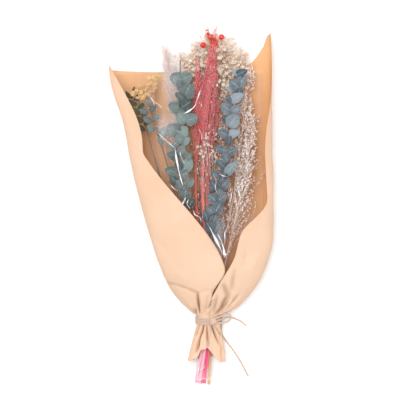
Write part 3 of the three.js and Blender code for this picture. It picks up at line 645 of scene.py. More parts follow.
def kraft_paper():
    """One sheet, from its torn skirt edge over the neck to the mouth, with its folds pressed in."""
    skirt = np.linspace(1, 0, PAPER_ROWS["skirt"], endpoint=False)
    neck = np.linspace(1, 0, PAPER_ROWS["neck"], endpoint=False)
    cone = np.linspace(0, 1, PAPER_ROWS["cone"]) ** 1.3
    across = np.linspace(0, 1, PAPER_COLUMNS)[None]
    torn = 1 + 0.05 * np.sin(31 * across) * np.sin(47 * across + 1) + 0.03 * np.sin(90 * across)
    y = np.vstack([
        -NECK_LENGTH - skirt[:, None] * SKIRT_LENGTH * np.minimum(1, skirt_edge(across) * torn),
        -neck[:, None] * NECK_LENGTH + 0 * across,
        cone[:, None] * CONE_LENGTH * top_edge(across),
    ])
    across = np.broadcast_to(across, y.shape)
    oval = paper_oval(y)
    first = turn_at(oval, CONE_WIDTH * left_flap_edge(cone_share(y)))
    last = 2 * np.pi + turn_at(oval, CONE_WIDTH * right_flap_edge(cone_share(y)))
    turn = first + (last - first) * across
    tuck = TUCK * np.clip((across - 0.78) / 0.12, 0, 1)
    flat = on_oval(oval, turn, tuck)
    x = flat[..., 0]
    depth = tuck - paper_pleats(y, turn)
    crease = np.zeros(y.shape)
    front = np.cos(turn) > 0.15
    for start, end, width, drop in PAPER_FOLDS:
        distance, along = segment_distance(x, y, start, end)
        taper = np.sin(np.pi * np.clip(0.08 + 0.84 * along, 0, 1)) ** 0.6
        pressed = FOLD_STRENGTH * drop * taper * np.exp(-((distance / width) ** 1.5))
        depth = depth + np.where(front, pressed, 0)
        # Deep folds are also painted darker along their bottoms, as painted shade.
        if drop > 2:
            dark = (drop - 1) / 5.5 * taper * np.exp(-((distance / (0.75 * width)) ** 2))
            crease = np.maximum(crease, np.where(front, dark, 0))
    places = np.stack([x, y, flat[..., 1]], -1).reshape(-1, 3)
    away = np.clip((np.abs(y + NECK_LENGTH / 2) - 8) / 40, 0, 1)
    crumple = np.abs(wobble(places * (1, 0.45, 1), CRUMPLE[0], 3)).reshape(y.shape)
    near_tie = np.exp(-np.maximum(0, y) / 26) * np.clip((np.abs(y + NECK_LENGTH / 2) - 7) / 8, 0, 1)
    swell = wobble(places * (1, 0.6, 1), SWELL[0], 1).reshape(y.shape)
    ripple = wobble(places * (1, 0.7, 1), RIPPLE[0], 2).reshape(y.shape)
    depth = depth + away * (SWELL[1] * swell + RIPPLE[1] * ripple) + CRUMPLE[1] * near_tie * crumple
    curl = sum(np.clip(1 - edge / EDGE_SHARE, 0, 1) ** 2 for edge in (across, 1 - across))
    depth = depth - EDGE_CURL * curl * np.clip((y - 70) / 40, 0, 1)
    place = on_oval(oval, turn, depth)
    low = oval["floor"] + 0.15 + np.where(np.cos(turn) < 0, np.maximum(0, depth), 0) * 0.3
    points = np.stack([place[..., 0], y, np.maximum(place[..., 1], low)], -1)
    # Painted shade deep in the cone, read by the inside's colour.
    inside = np.clip((PAPER_SHADE_TOP - y) / PAPER_SHADE_DEPTH, 0, 1)
    clay = Clay("crease", "inside")
    clay.add(points, [sheet_faces(*y.shape)[:, ::-1]], crease=crease.ravel(), inside=inside.ravel())
    paper = make("kraft_paper", clay, KRAFT, ["kraft_paper_wrap"])
    thick = paper.modifiers.new("thickness", "SOLIDIFY")
    thick.thickness = PAPER_THICK * MM
    thick.offset = 0
    paper.data.materials.append(KRAFT_INSIDE_SHADED)
    thick.material_offset = 1
    return paper


# -------- clear film

FILM_BELOW = 76.0
FILM_ROWS = {"below": 34, "cone": 150}
FILM_COLUMNS = 150
# How deep its broad ridges and its fine ones are.
FILM_RIDGES, FILM_WRINKLES = 2.2, 0.9
film_top = smooth_curve([[0, 0.875], [0.12, 0.92], [0.3, 0.86], [0.5, 0.87], [0.75, 0.86], [1, 0.875]])
film_inset_left = smooth_curve([[0, 0], [0.15, 5], [0.3, 6]])
film_inset_right = smooth_curve([[0, 0], [0.2, 8], [0.35, 11]])
# Patches where the film is drawn milky, partly its own cloudiness and partly painted glare: middle, reach
# across and along, and strength.
HAZE_AND_GLARE = [
    ((-58, 262), (10, 22), 0.33), ((-66, 205), (14, 40), 0.03), ((-34, 196), (10, 22), 0.06),
    ((16, 112), (8, 26), 0.25), ((46, 160), (8, 36), 0.10), ((-50, 330), (16, 20), 0.12),
    ((-6, -86), (18, 9), 0.55),
]


def film_oval(y):
    """The film's section: inside the paper's in the cone, and loose round the stems below."""
    paper = paper_oval(np.maximum(0, y))
    share = cone_share(y)
    below = np.maximum(0, -np.asarray(y) - NECK_LENGTH) / FILM_BELOW
    left = paper["x"] - paper["half_width"] + FILM_DEPTH + film_inset_left(share) - 5 * below
    right = paper["x"] + paper["half_width"] - FILM_DEPTH - film_inset_right(share) - 5 * below**2
    high = paper_top(np.minimum(np.maximum(0, y), 0.8 * CONE_LENGTH)) - FILM_DEPTH - 2 * below
    floor = lands(np.maximum(0, y)) + 1.3
    low = NECK_MIDDLE - NECK_HALF_DEPTH + FILM_DEPTH
    low = low + (floor - low) * np.clip(share / 0.08, 0, 1)
    return oval_of(left, right, low, high, floor, paper["square"])


def clear_film():
    """A sleeve closed all round, from its end below the skirt to near the cone's mouth."""
    below = np.linspace(1, 0, FILM_ROWS["below"], endpoint=False)
    cone = np.linspace(0, 1, FILM_ROWS["cone"]) ** 1.15
    across = np.linspace(0, 1, FILM_COLUMNS, endpoint=False)[None]
    y = np.vstack([
        -below[:, None] * (NECK_LENGTH + FILM_BELOW + 2.5 * np.sin(14 * across)),
        cone[:, None] * CONE_LENGTH * film_top(across),
    ])
    turn = 2 * np.pi * np.broadcast_to(across, y.shape)
    oval = film_oval(y)
    flat = on_oval(oval, turn, np.zeros(y.shape))
    places = np.stack([flat[..., 0], y, flat[..., 1]], -1).reshape(-1, 3)
    ridges = 1 - np.abs(wobble(places * (1, 0.45, 1), 24, 5)).reshape(y.shape)
    fine = 1 - np.abs(wobble(places * (1, 0.6, 1), 9, 6)).reshape(y.shape)
    free = np.clip(np.abs(y + NECK_LENGTH / 2) / 30, 0, 1)
    pleats = 0.8 * np.sin(13 * turn + 2 * np.sin(3 * turn)) * np.exp(-np.abs(y + 6) / 60)
    creased = FILM_RIDGES * (1 - ridges) + FILM_WRINKLES * (1 - fine)
    depth = free * creased + np.where(y < -NECK_LENGTH, pleats, 0)
    place = on_oval(oval, turn, depth)
    points = np.stack([place[..., 0], y, np.maximum(place[..., 1], oval["floor"] - 0.6)], -1)
    haze = np.zeros(y.shape)
    for (hx, hy), (rx, ry), strength in HAZE_AND_GLARE:
        far = ((points[..., 0] - hx) / rx) ** 2 + ((y - hy) / ry) ** 2
        haze = haze + strength * np.exp(-far)
    patchy = 0.55 + 0.9 * wobble(places * (1, 0.35, 1), 12, 8).reshape(y.shape)
    haze = np.clip(haze * patchy, 0, 0.8) * np.where(np.cos(turn) > 0, 1, 0.2)
    # The film's two ends are drawn milkier: partly their folded edges, partly painted glare.
    rim = np.zeros(y.shape)
    rim[-1], rim[0] = 0.12, 0.5
    clay = Clay("haze")
    clay.add(points, [sheet_faces(*y.shape, wrapped=True)[:, ::-1]], haze=(haze + rim).ravel())
    film = make("clear_film", clay, FILM, ["clear_film_sleeve"])
    return film, points


# Folds pinched up in the film, drawn mostly opaque white, partly as creased film's whitening and partly as
# painted glints: the line each follows and its half width.
FILM_FOLDS = [
    ([(-69, 257), (-63, 251), (-56, 245), (-50, 240), (-45, 236)], 0.9),
    ([(-45, 236), (-43, 222), (-40, 206), (-37, 194), (-34, 184)], 1.9),
    ([(-33, 283), (-27, 286), (-20, 291), (-16, 296)], 1.8),
    ([(-17, 295), (-14, 303), (-11, 312), (-9, 318)], 1.1),
    ([(-30, 167), (-33, 161), (-36, 155)], 1.7),
    ([(-24, 152), (-28, 158), (-26, 165)], 0.8),
    ([(3, 126), (8, 116), (13, 106), (18, 96), (20, 90)], 2.6),
    ([(14, 117), (19, 107), (22, 98), (25, 88), (26, 82)], 1.3),
    ([(22, 96), (23, 89), (24, 83)], 1.9),
    ([(32, 93), (28, 90), (25, 86)], 0.8),
    ([(40, 187), (42, 179), (45, 170), (46, 162)], 1.0),
    ([(35, 181), (33, 168), (31, 156)], 0.7),
    ([(-74, 300), (-68, 296), (-62, 290)], 0.7),
    ([(16, 200), (22, 197), (27, 196)], 0.9),
    ([(-12, 262), (-8, 254), (-8, 246)], 0.6),
    ([(-86, 312), (-80, 308), (-76, 302), (-73, 294)], 0.7),
    ([(-52, 186), (-47, 180), (-41, 176)], 0.8),
    ([(-20, 150), (-17, 143), (-11, 140), (-8, 134)], 1.0),
    ([(-38, 232), (-36, 222), (-31, 214)], 0.6),
    ([(8, 200), (12, 190), (11, 180), (15, 171)], 0.5),
    ([(52, 250), (55, 236), (54, 222)], 0.6),
    ([(28, 128), (24, 116), (25, 104)], 0.9),
    ([(-16, -73), (-10, -76), (-5, -73), (-2, -70)], 1.0),
    ([(-14, -84), (-12, -74), (-13, -64)], 0.8),
]
# How far a fold's edges and underside are sunk in the film, and its crest's height as a share of
# its width.
FOLD_EDGES, FOLD_UNDER, FOLD_CREST = 0.5, 0.7, 0.9


def film_folds(film_points):
    """The folds, whitened partly as creased film and partly as painted glints, laid along the top of the
    film's points.
    """
    clay = Clay("haze")
    top = film_points[:, : FILM_COLUMNS // 4]
    top = np.concatenate([film_points[:, -FILM_COLUMNS // 4:], top], 1).reshape(-1, 3)
    for line, half_width in FILM_FOLDS:
        flat = resample([(x, y, 0) for x, y in line], 1.2)
        nearest = ((top[None, :, :2] - flat[:, None, :2]) ** 2).sum(-1).argmin(1)
        heights = top[nearest, 2]
        flat[:, 2] = np.convolve(np.pad(heights, 3, mode="edge"), np.ones(7) / 7, "valid") + 0.5
        side, _, _ = frames_along(flat)
        share = np.linspace(0, 1, len(flat))
        jitter = 0.75 + 0.35 * np.sin(9 * share + line[0][0])
        width = (half_width * np.sin(np.pi * (0.04 + 0.92 * share)) ** 0.8 * jitter)[:, None]
        left = flat + side * width - UP * FOLD_EDGES
        right = flat - side * width - UP * FOLD_EDGES
        crest = flat + UP * FOLD_CREST * width
        under = flat - UP * FOLD_UNDER
        ring = np.stack([left, crest, right, under], 1)
        clay.add(ring.reshape(-1, 3), tube_faces(len(flat), 4), haze=0.5)
    return make("clear_film_folds", clay, FILM_FOLD_GLINT)


# -------- stems

# Stems lie in lanes across the neck, in rows over one another. At the heads, each row is at its
# share of the paper's height.
LANE = 4.4
ROW_AT_HEADS = [0.17, 0.37, 0.55, 0.73]
ROWS_MIDDLE = 1.5
heads_share = smooth_curve([[0, 0], [0.22, 1]])
# Row, lane across the tie, radius at the cut and at the tip, the lane where it is cut and how far
# below the tie that is, and places passed, in hundredths of the cone's width and length.
STEMS = {
    "cream_1": (0, -2, (1.2, 0.6), (-2.05, 42), [(-5, 45), (-10.6, 86)]),
    "cream_2": (0, -1, (1.2, 0.6), (-1.1, 50), [(-1, 45), (-3, 91)]),
    "cream_3": (0, 0, (1.2, 0.6), (-0.15, 38), [(2.6, 45), (4.6, 93)]),
    "cream_4": (0, 1, (1.2, 0.6), (0.8, 47), [(6.8, 45), (12.2, 91)]),
    "cream_5": (0, 2, (1.2, 0.6), (1.75, 40), [(11, 45), (19, 87)]),
    "ruscus": (1, -2.5, (1.3, 0.7), (-2.8, 36), [(-25, 42), (-43, 79)]),
    "yellow": (1, -1.5, (1.2, 0.7), (-1.85, 44), [(-19, 42), (-34, 80)]),
    "plume_1": (1, -0.5, (1.2, 0.6), (-0.9, 52), [(-14, 45), (-25, 93)]),
    "berry": (1, 0.5, (1.9, 1), (0.15, 98.7), [(-0.5, 45), (2, 96.5)]),
    "statice_1": (1, 1.5, (1.3, 0.6), (1.2, 46), [(16.5, 45), (25, 83.5)]),
    "statice_2": (1, 2.5, (1.2, 0.6), (2.2, 41), [(21.5, 42), (27.5, 68)]),
    "side": (2, -2.5, (1.4, 0.8), (-2.6, 22), [(-19, 42), (-36, 77)]),
    "plume_2": (2, -1.5, (1.2, 0.6), (-1.75, 20), [(-13.5, 45), (-20, 87)]),
    "red_1": (2, -0.5, (1.9, 1.1), (-3.5, 95.6), [(-7, 45), (-6, 86)]),
    "red_2": (2, 0.5, (1.9, 1.1), (-1.95, 96.4), [(-2.6, 45), (0.4, 94)]),
    "red_3": (2, 1.5, (1.7, 1.1), (0.95, 48), [(0.2, 45), (6.5, 87)]),
    "statice_3": (2, 2.5, (1.2, 0.6), (2, 37), [(19, 40), (26, 60)]),
    "left": (3, -1, (1.6, 0.8), (-1.2, 40), [(-13, 41.5), (-16.5, 64), (-16, 90)]),
    "right": (3, 1, (1.6, 0.8), (0.95, 43), [(4, 33), (10, 53), (13, 68), (19.5, 87)]),
}


class Stem:
    """A stem's route from its cut end through the neck to its tip, by the bunch's Y."""

    def __init__(self, row, lane, radius, cut, via):
        cut_lane, cut_below = cut
        self.row, self.radius = row, radius
        self.low = -cut_below
        self.high = via[-1][1] / 100 * CONE_LENGTH
        places = [(y / 100 * CONE_LENGTH, x / 100 * CONE_WIDTH) for x, y in via]
        starts = [(self.low, NECK_X + cut_lane * LANE), (0, NECK_X + lane * LANE)]
        self.across = smooth_curve(starts + places)

    def at(self, y):
        y = np.asarray(y, float)
        neck = NECK_MIDDLE + (self.row - ROWS_MIDDLE) * LANE
        heads = paper_top(np.minimum(y, 0.75 * CONE_LENGTH)) * ROW_AT_HEADS[self.row]
        z = neck + (heads - neck) * heads_share(cone_share(y))
        return np.stack([self.across(y), y, z], -1)

    def ahead(self, y):
        return unit(self.at(np.asarray(y) + 1) - self.at(np.asarray(y) - 1))

    def shoots(self, y):
        """Where twigs leave the stem, and its heading there."""
        return self.at(y), self.ahead(y)

    def radius_at(self, y):
        share = np.maximum(0, y) / self.high
        return self.radius[0] + (self.radius[1] - self.radius[0]) * share


stems = {name: Stem(*facts) for name, facts in STEMS.items()}

STEM_CROOK = 0.6
# How much thicker a stem is where a leaf leaves it, and how far along it that reaches.
KNOT_SWELL, KNOT_REACH = 0.45, 2.2


def stem_rod(clay, stem, rng, knots=(), sides=8, **values):
    """The stem itself, a little crooked, thicker at its knots and cut square at its foot."""
    y = np.arange(stem.low, stem.high, 3.0)
    points = stem.at(y)
    crook = np.stack([wobble(points, 26, rng.integers(99)), 0 * y, wobble(points, 26, 7)], -1)
    points = points + STEM_CROOK * crook
    radii = stem.radius_at(y) * (1 + 0.10 * wobble(points, 6, rng.integers(99)))
    for knot in knots:
        radii = radii * (1 + KNOT_SWELL * np.exp(-((y - knot) / KNOT_REACH) ** 2))
    tube(clay, points, radii, sides, **values)


def twigs(clay, lines, thick, thin, sides=4, **values):
    """A thin twig along each of many lines, an array of lines by points by 3."""
    count, length, _ = lines.shape
    ahead = unit(np.gradient(lines, axis=1))
    steep = np.abs(ahead[:, :1, 2:3]) > 0.8
    side = unit(np.cross(ahead, np.where(steep, np.array([1.0, 0, 0]), UP)))
    upright = np.cross(side, ahead)
    turn = np.linspace(0, 2 * np.pi, sides, endpoint=False)[:, None]
    rim = side[:, :, None] * np.cos(turn) + upright[:, :, None] * np.sin(turn)
    radii = np.linspace(thick, thin, length)[None, :, None, None]
    points = lines[:, :, None] + rim * radii
    step = (np.arange(count) * length * sides)[:, None, None]
    faces = [(f[None] + step).reshape(-1, f.shape[1]) for f in tube_faces(length, sides)]
    spread = {k: np.repeat(v, length * sides) for k, v in values.items() if len(np.shape(v))}
    clay.add(points.reshape(-1, 3), faces, **{**values, **spread})


def branches(base, ahead, angle, reach, rng, flat=0.7, steps=6, arch=0.3):
    """Lines that leave each base at about that angle from ahead, and arch back towards it. flat
    is how far they spread up and down, as a share of how far they spread to the sides."""
    count = len(base)
    turn = np.arange(count) * 2.4 + rng.uniform(-0.5, 0.5, count)
    side = unit(np.cross(ahead, UP))
    upright = np.cross(side, ahead)
    out = side * np.cos(turn)[:, None] + flat * upright * np.sin(turn)[:, None]
    lean = (angle * rng.uniform(0.65, 1.3, count))[:, None]
    heading = unit(ahead * np.cos(lean) + out * np.sin(lean))
    length = np.broadcast_to(reach, count) * rng.uniform(0.75, 1.2, count)
    s = np.linspace(0, 1, steps)[None, :, None]
    bow = rng.normal(0, 0.05, (count, 1, 3)) * np.sin(np.pi * s)
    path = heading[:, None] * s + ahead[:, None] * arch * s**2 + bow
    return base[:, None] + path * length[:, None, None]


def along_lines(lines, share):
    """A place and a heading on each line, at a share of it from its start."""
    share = np.broadcast_to(share, len(lines))
    at = share * (lines.shape[1] - 1)
    k = np.minimum(at.astype(int), lines.shape[1] - 2)
    n = np.arange(len(lines))
    step = lines[n, k + 1] - lines[n, k]
    return lines[n, k] + step * (at - k)[:, None], unit(step)


def stations(lines, shares):
    """The places and headings on all the lines at the first share, then at the next, and so on."""
    places, headings = zip(*[along_lines(lines, share) for share in shares])
    return np.vstack(places), np.vstack(headings)


def curves(starts, bends, ends, steps):
    """A curve from each start to its end, drawn towards its bend."""
    s = np.linspace(0, 1, steps)[None, :, None]
    return starts[:, None] * (1 - s) ** 2 + 2 * bends[:, None] * s * (1 - s) + ends[:, None] * s**2


def tints(rng, middle, spread, count=None):
    """Random tints round a middle one, one for each of count or for each middle."""
    return np.clip(rng.normal(middle, spread, count), 0, 1)


def grow(name, seed, tint, sides=6):
    """What each spray starts with: its random numbers, its stem and the clay with the stem in it."""
    rng = np.random.default_rng(seed)
    stem, wood = stems[name], Clay("tint")
    stem_rod(wood, stem, rng, sides=sides, tint=tint)
    return rng, stem, wood


# -------- leaves

LEAF_ROWS, LEAF_COLUMNS = 11, 9
LEAF_THICK = 0.35
# How far its edges rise, as a share of its width, and its middle, as a share of its length.
LEAF_CUP, LEAF_BOW = 0.10, 0.10
# Leaves are painted darker down the cone, as painted shade, from LEAF_SHADE_TOP to LEAF_SHADE_TOP -
# LEAF_SHADE_DEPTH.
LEAF_SHADE_TOP, LEAF_SHADE_DEPTH = 235, 110


def leaf(clay, base, tip, width, face, rng, blunt, early):
    """A thin closed blade from base to tip. face is about the way that its upper side looks. A
    smaller blunt makes its ends rounder, and a smaller early puts its widest place lower."""
    base, tip = np.asarray(base, float), np.asarray(tip, float)
    length = np.linalg.norm(tip - base)
    middle_y = (base[1] + tip[1]) / 2
    ahead = (tip - base) / length
    normal = unit(np.asarray(face, float) - ahead * np.dot(face, ahead))
    side = np.cross(ahead, normal)
    t = np.linspace(0, 1, LEAF_ROWS)[:, None]
    u = np.linspace(-1, 1, LEAF_COLUMNS)[None]
    outline = np.maximum(np.sin(np.pi * np.clip(t, 0.004, 0.996) ** early) ** blunt, 0.05)
    wave = 0.03 * np.sin(9 * t + rng.uniform(0, 6)) * u**2 + 0.03 * rng.normal() * u
    lift = LEAF_CUP * width * np.abs(u) ** 1.6 * outline + width * wave
    arch = LEAF_BOW * length * 4 * t * (1 - t) - 0.06 * length * t**3
    across = u * outline * width / 2 * (1 + 0.05 * np.sin(7 * t + rng.uniform(0, 6)))
    top = (base + ahead * (length * t)[..., None] + side * across[..., None]
           + normal * (lift + arch)[..., None])
    under = top - normal * LEAF_THICK
    count = LEAF_ROWS * LEAF_COLUMNS
    grid = sheet_faces(LEAF_ROWS, LEAF_COLUMNS)
    number = np.arange(count).reshape(LEAF_ROWS, LEAF_COLUMNS)
    rim = np.concatenate([number[0, :-1], number[:-1, -1], number[-1, :0:-1], number[:0:-1, 0]])
    after = np.roll(rim, -1)
    edge = np.stack([after, rim, rim + count, after + count], -1)
    # Painted shade: leaves lower in the cone are darker.
    shade = np.clip(1 - (LEAF_SHADE_TOP - middle_y) / LEAF_SHADE_DEPTH, 0.05, 1)
    tint = np.clip(rng.normal(0.5, 0.34) * shade, 0, 1)
    values = {
        "across": np.tile(np.broadcast_to(np.abs(u), top.shape[:2]).ravel(), 2),
        "along": np.tile(np.broadcast_to(t, top.shape[:2]).ravel(), 2),
        "tint": tint,
    }
    points = np.concatenate([top.reshape(-1, 3), under.reshape(-1, 3)])
    clay.add(points, [grid, grid[:, ::-1] + count, edge], **values)


# The leaves of each branch: where the middle of the blade is, its length and width, and how many
# degrees it leans to the left.
LEFT_LEAVES = [
    (-43, 333, 20, 20, 72), (-30, 334, 20, 20, -68), (-37, 322, 15, 13, 30), (-28, 315, 24, 23, -28),
    (-38, 308, 16, 12, 55), (-45, 294, 19, 17, 78), (-30, 296, 19, 18, -58), (-36, 285, 14, 12, 25),
    (-35, 278, 19, 19, 45), (-22, 276, 20, 19, -66), (-47, 262, 21, 19, 60), (-34, 259, 18, 17, -38),
    (-40, 248, 16, 13, 20), (-31, 246, 16, 14, -60), (-60, 258, 17, 16, 65), (-49, 238, 15, 10, 60),
    (-36, 233, 16, 12, -20), (-48, 225, 18, 15, 68), (-27, 224, 14, 11, -55), (-28, 212, 21, 19, -40),
    (-40, 212, 15, 12, 30), (-50, 204, 20, 15, 75), (-32, 199, 16, 13, -50), (-46, 192, 16, 14, 50),
    (-24, 188, 15, 12, -48), (-37, 184, 18, 15, 40), (-31, 172, 19, 17, -14), (-22, 160, 14, 12, -35),
    (-29, 154, 13, 11, 30),
]
RIGHT_LEAVES = [
    (47, 340, 20, 12, -62), (40, 341, 15, 10, 50), (48, 329, 20, 15, -45), (38, 325, 19, 15, 52),
    (32, 318, 14, 9, 70), (44, 314, 15, 12, -20), (41, 306, 23, 14, -62), (30, 303, 15, 12, 40),
    (27, 291, 21, 18, 58), (39, 290, 17, 13, -50), (36, 274, 23, 20, -35), (26, 276, 15, 12, 52),
    (22, 257, 18, 13, 72), (37, 256, 20, 13, -70), (31, 246, 15, 12, -10), (20, 235, 19, 12, 70),
    (33, 232, 20, 12, -65), (25, 223, 17, 13, 35), (33, 207, 29, 13, -38), (19, 213, 17, 13, 48),
    (23, 197, 17, 13, -28), (11, 199, 14, 10, 58), (11, 184, 20, 17, 42), (23, 186, 18, 15, -45),
    (17, 173, 16, 13, 5), (7, 166, 18, 15, 48), (21, 167, 17, 13, -52), (15, 153, 20, 17, -30),
    (4, 150, 15, 12, 52), (-2, 141, 17, 14, 20), (10, 137, 16, 14, -20), (14, 125, 18, 15, -28),
    (3, 126, 17, 14, 35), (7, 112, 19, 12, -8), (16, 110, 13, 10, -40),
]
SIDE_LEAVES = [
    (-89, 288, 15, 8, 72), (-76, 292, 13, 8, -48), (-84, 277, 15, 10, 60), (-71, 279, 12, 9, -52),
    (-79, 264, 13, 10, 52), (-65, 258, 13, 9, -45), (-83, 300, 11, 7, 20), (-66, 246, 11, 8, 45),
]
RUSCUS_LEAVES = [
    (-110, 312, 16, 8, 48), (-99, 309, 13, 7, -42), (-105, 301, 15, 8, 62), (-93, 297, 14, 7, -48),
    (-101, 289, 17, 8, 55), (-89, 285, 13, 7, -40), (-96, 277, 14, 8, 60), (-103, 319, 10, 6, 4),
    (-85, 273, 12, 6, -50), (-92, 265, 13, 7, 52),
]


def leafy(name, stem, leaves, material, pairs, seed, blunt=0.6, early=0.78):
    """A leafy branch. The leaves stand for the CAD's pairs."""
    rng = np.random.default_rng(seed)
    rod, blades = Clay("tint"), Clay("tint", "across", "along")
    knots = []
    for x, y, length, width, lean in leaves:
        lean = math.radians(lean)
        heading = unit([-math.sin(lean), math.cos(lean), rng.uniform(0.05, 0.35)])
        foot = np.clip(y - 0.45 * length * math.cos(lean), 0, stem.high)
        height = stem.at(foot)[2] + rng.uniform(1.5, 4.5)
        middle = np.array([x, y, height + 2])
        base, tip = middle - heading * length / 2, middle + heading * length / 2
        face = np.array([rng.normal(0, 0.28) - 0.25 * heading[0], rng.normal(-0.15, 0.25), 1.0])
        leaf(blades, base, tip, width, face, rng, blunt, early)
        joint = stem.at(np.clip(base[1] - 2, 0, stem.high))
        bend = (joint + base) / 2 + np.array([0, 0.8, 0.6])
        tube(rod, resample([joint, bend, base + heading * 1.5], 1.5), 0.45, 5, tint=0.6)
        knots.append(joint[1])
    stem_rod(rod, stem, rng, knots, tint=0.5)
    make(f"{name}_stem", rod, BARK, [f"{name}_stem"])
    make(f"{name}_leaves", blades, material, [f"{name}_leaves_{i + 1}" for i in range(pairs)])


# -------- flowers

def flower_form(petals, cup, opening=0.12):
    """The points and faces of an open flower of radius 1, facing along Z."""
    outline = [(opening, 0), (0.45, 0.27), (0.82, 0.30), (1, 0), (0.82, -0.30), (0.45, -0.27)]
    corners = np.arange(len(outline))
    after = (corners + 1) % len(outline)
    points, tops, edges = [], [], []
    for k in range(petals):
        turn = 2 * np.pi * k / petals
        first = len(points)
        for low in (0, 1):
            for out, across in outline:
                x = out * np.cos(turn) - across * np.sin(turn)
                y = out * np.sin(turn) + across * np.cos(turn)
                points.append([x, y, cup * out**2 + 0.12 * abs(across) - 0.07 * low])
        lower = first + len(outline)
        tops += [corners + first, corners[::-1] + lower]
        edges.append(np.stack([after + first, corners + first, corners + lower, after + lower], -1))
    middle, (quads, caps) = ball(6, 4)
    middle = middle * (0.22, 0.22, 0.20) + (0, 0, 0.08)
    count = len(points)
    edges = np.vstack([*edges, quads + count])
    return np.vstack([points, middle]), [np.array(tops), edges, caps + count]


FLOWER = flower_form(5, 0.35)
CUPPED_FLOWER = flower_form(6, 0.75, 0.05)
BUD = ball(5, 4)
SEED = ball(4, 3)

# The flowers start at this share of the stem, and rise by up to CREAM_LIFT.
CREAM_START = 0.78
CREAM_BRANCHES = 32
CREAM_LIFT = 14
FILLER_BRANCHES = 50
FILLER_LIFT = 25


def lit(y):
    """How pale the filler is painted: it darkens towards the bottom of the open cone, as painted shade."""
    return np.clip((y - 60) / 150, 0.2, 1)


def cream_head(number, seed):
    """Branchlets up the top of the stem, each ending in a few small open flowers."""
    rng, stem, wood = grow(f"cream_{number}", seed, 0.6)
    petals, dry = Clay("tint"), Clay("tint")
    y = stem.high * (CREAM_START + (1 - CREAM_START) * np.linspace(0, 1, CREAM_BRANCHES) ** 0.75)
    reach = np.linspace(25, 19, CREAM_BRANCHES)
    first = branches(*stem.shoots(y), angle=0.66, reach=reach, rng=rng, flat=0.55)
    rise = np.linspace(0, 1, first.shape[1]) ** 1.5
    first[..., 2] += rng.uniform(0, CREAM_LIFT, (CREAM_BRANCHES, 1)) * rise
    twigs(wood, first, thick=0.5, thin=0.28, tint=rng.random(CREAM_BRANCHES))
    forks = stations(first, (0.6, 0.82, 1.0, 1.0))
    second = branches(*forks, angle=0.75, reach=7.0, rng=rng, steps=4)
    twigs(wood, second, thick=0.28, thin=0.18, tint=rng.random(len(second)))
    tips, headings = along_lines(second, 1.0)
    facing = unit(headings + 0.9 * UP + 0.4 * rng.normal(size=tips.shape))
    half = rng.random(len(tips)) < 0.6
    for chosen, form, size in ((half, FLOWER, 3.1), (~half, CUPPED_FLOWER, 2.7)):
        scales = size * rng.uniform(0.75, 1.2, chosen.sum())
        tint = tints(rng, 0.75, 0.25, chosen.sum())
        scatter(petals, form, tips[chosen], frames_for(facing[chosen], rng), scales, tint=tint)
    filler_y = stem.high * rng.uniform(0.30, 0.84, FILLER_BRANCHES)
    filler = branches(*stem.shoots(filler_y), angle=0.42, reach=17, rng=rng)
    tint = lit(filler_y) * rng.random(FILLER_BRANCHES)
    twigs(dry, filler, thick=0.35, thin=0.15, tint=tint)
    places, headings = stations(filler, np.linspace(0.3, 1, 8))
    places = places + rng.normal(0, 2.2, places.shape)
    places[:, 2] += rng.uniform(0, FILLER_LIFT, len(places))
    tint = lit(places[:, 1]) * rng.random(len(places))
    scales = np.array([1.3, 1.3, 1.9]) * rng.uniform(0.5, 1.3, (len(places), 1))
    scatter(dry, BUD, places, frames_for(headings, rng), scales, tint=tint)
    make(f"cream_filler_{number}", dry, FILLER_BUD, [f"cream_bloom_{number}"])
    make(f"cream_stalks_{number}", wood, STRAW, [f"cream_bloom_{number}"])
    make(f"cream_flowers_{number}", petals, CREAM_PETAL, [f"cream_bloom_{number}"])


# Where the pale flowers in front of the red stems are, and how high.
FLORET_HEIGHTS = (42, 46)
FLORET_STALK = 60
FLOWERS_EACH = 4
FLORETS = [(-4, 247), (-2, 241), (-7, 227), (8, 234), (0, 252), (-9, 236), (3, 228), (12, 226)]


def white_florets(seed):
    """A few pale flowers on long stalks, which come forward over the red stems."""
    rng = np.random.default_rng(seed)
    stem = stems["cream_3"]
    petals = Clay("tint")
    tips = np.array([(x, y, rng.uniform(*FLORET_HEIGHTS)) for x, y in FLORETS])
    base = stem.at(tips[:, 1] - FLORET_STALK)
    bend = base * 0.5 + tips * 0.5 + (0, -6, 4)
    twigs(petals, curves(base, bend, tips, 7), thick=0.35, thin=0.2, tint=0.5)
    places = np.vstack([tips + rng.normal(0, 2.0, tips.shape) for _ in range(FLOWERS_EACH)])
    scales = rng.uniform(1.5, 2.6, len(places))
    facing = unit(UP + rng.normal(0, 0.4, places.shape))
    scatter(petals, FLOWER, places, frames_for(facing, rng), scales, tint=rng.random(len(places)))
    make("white_florets", petals, WHITE_BUD, ["cream_bloom_3"])


STATICE_LONG_TWIGS = 18


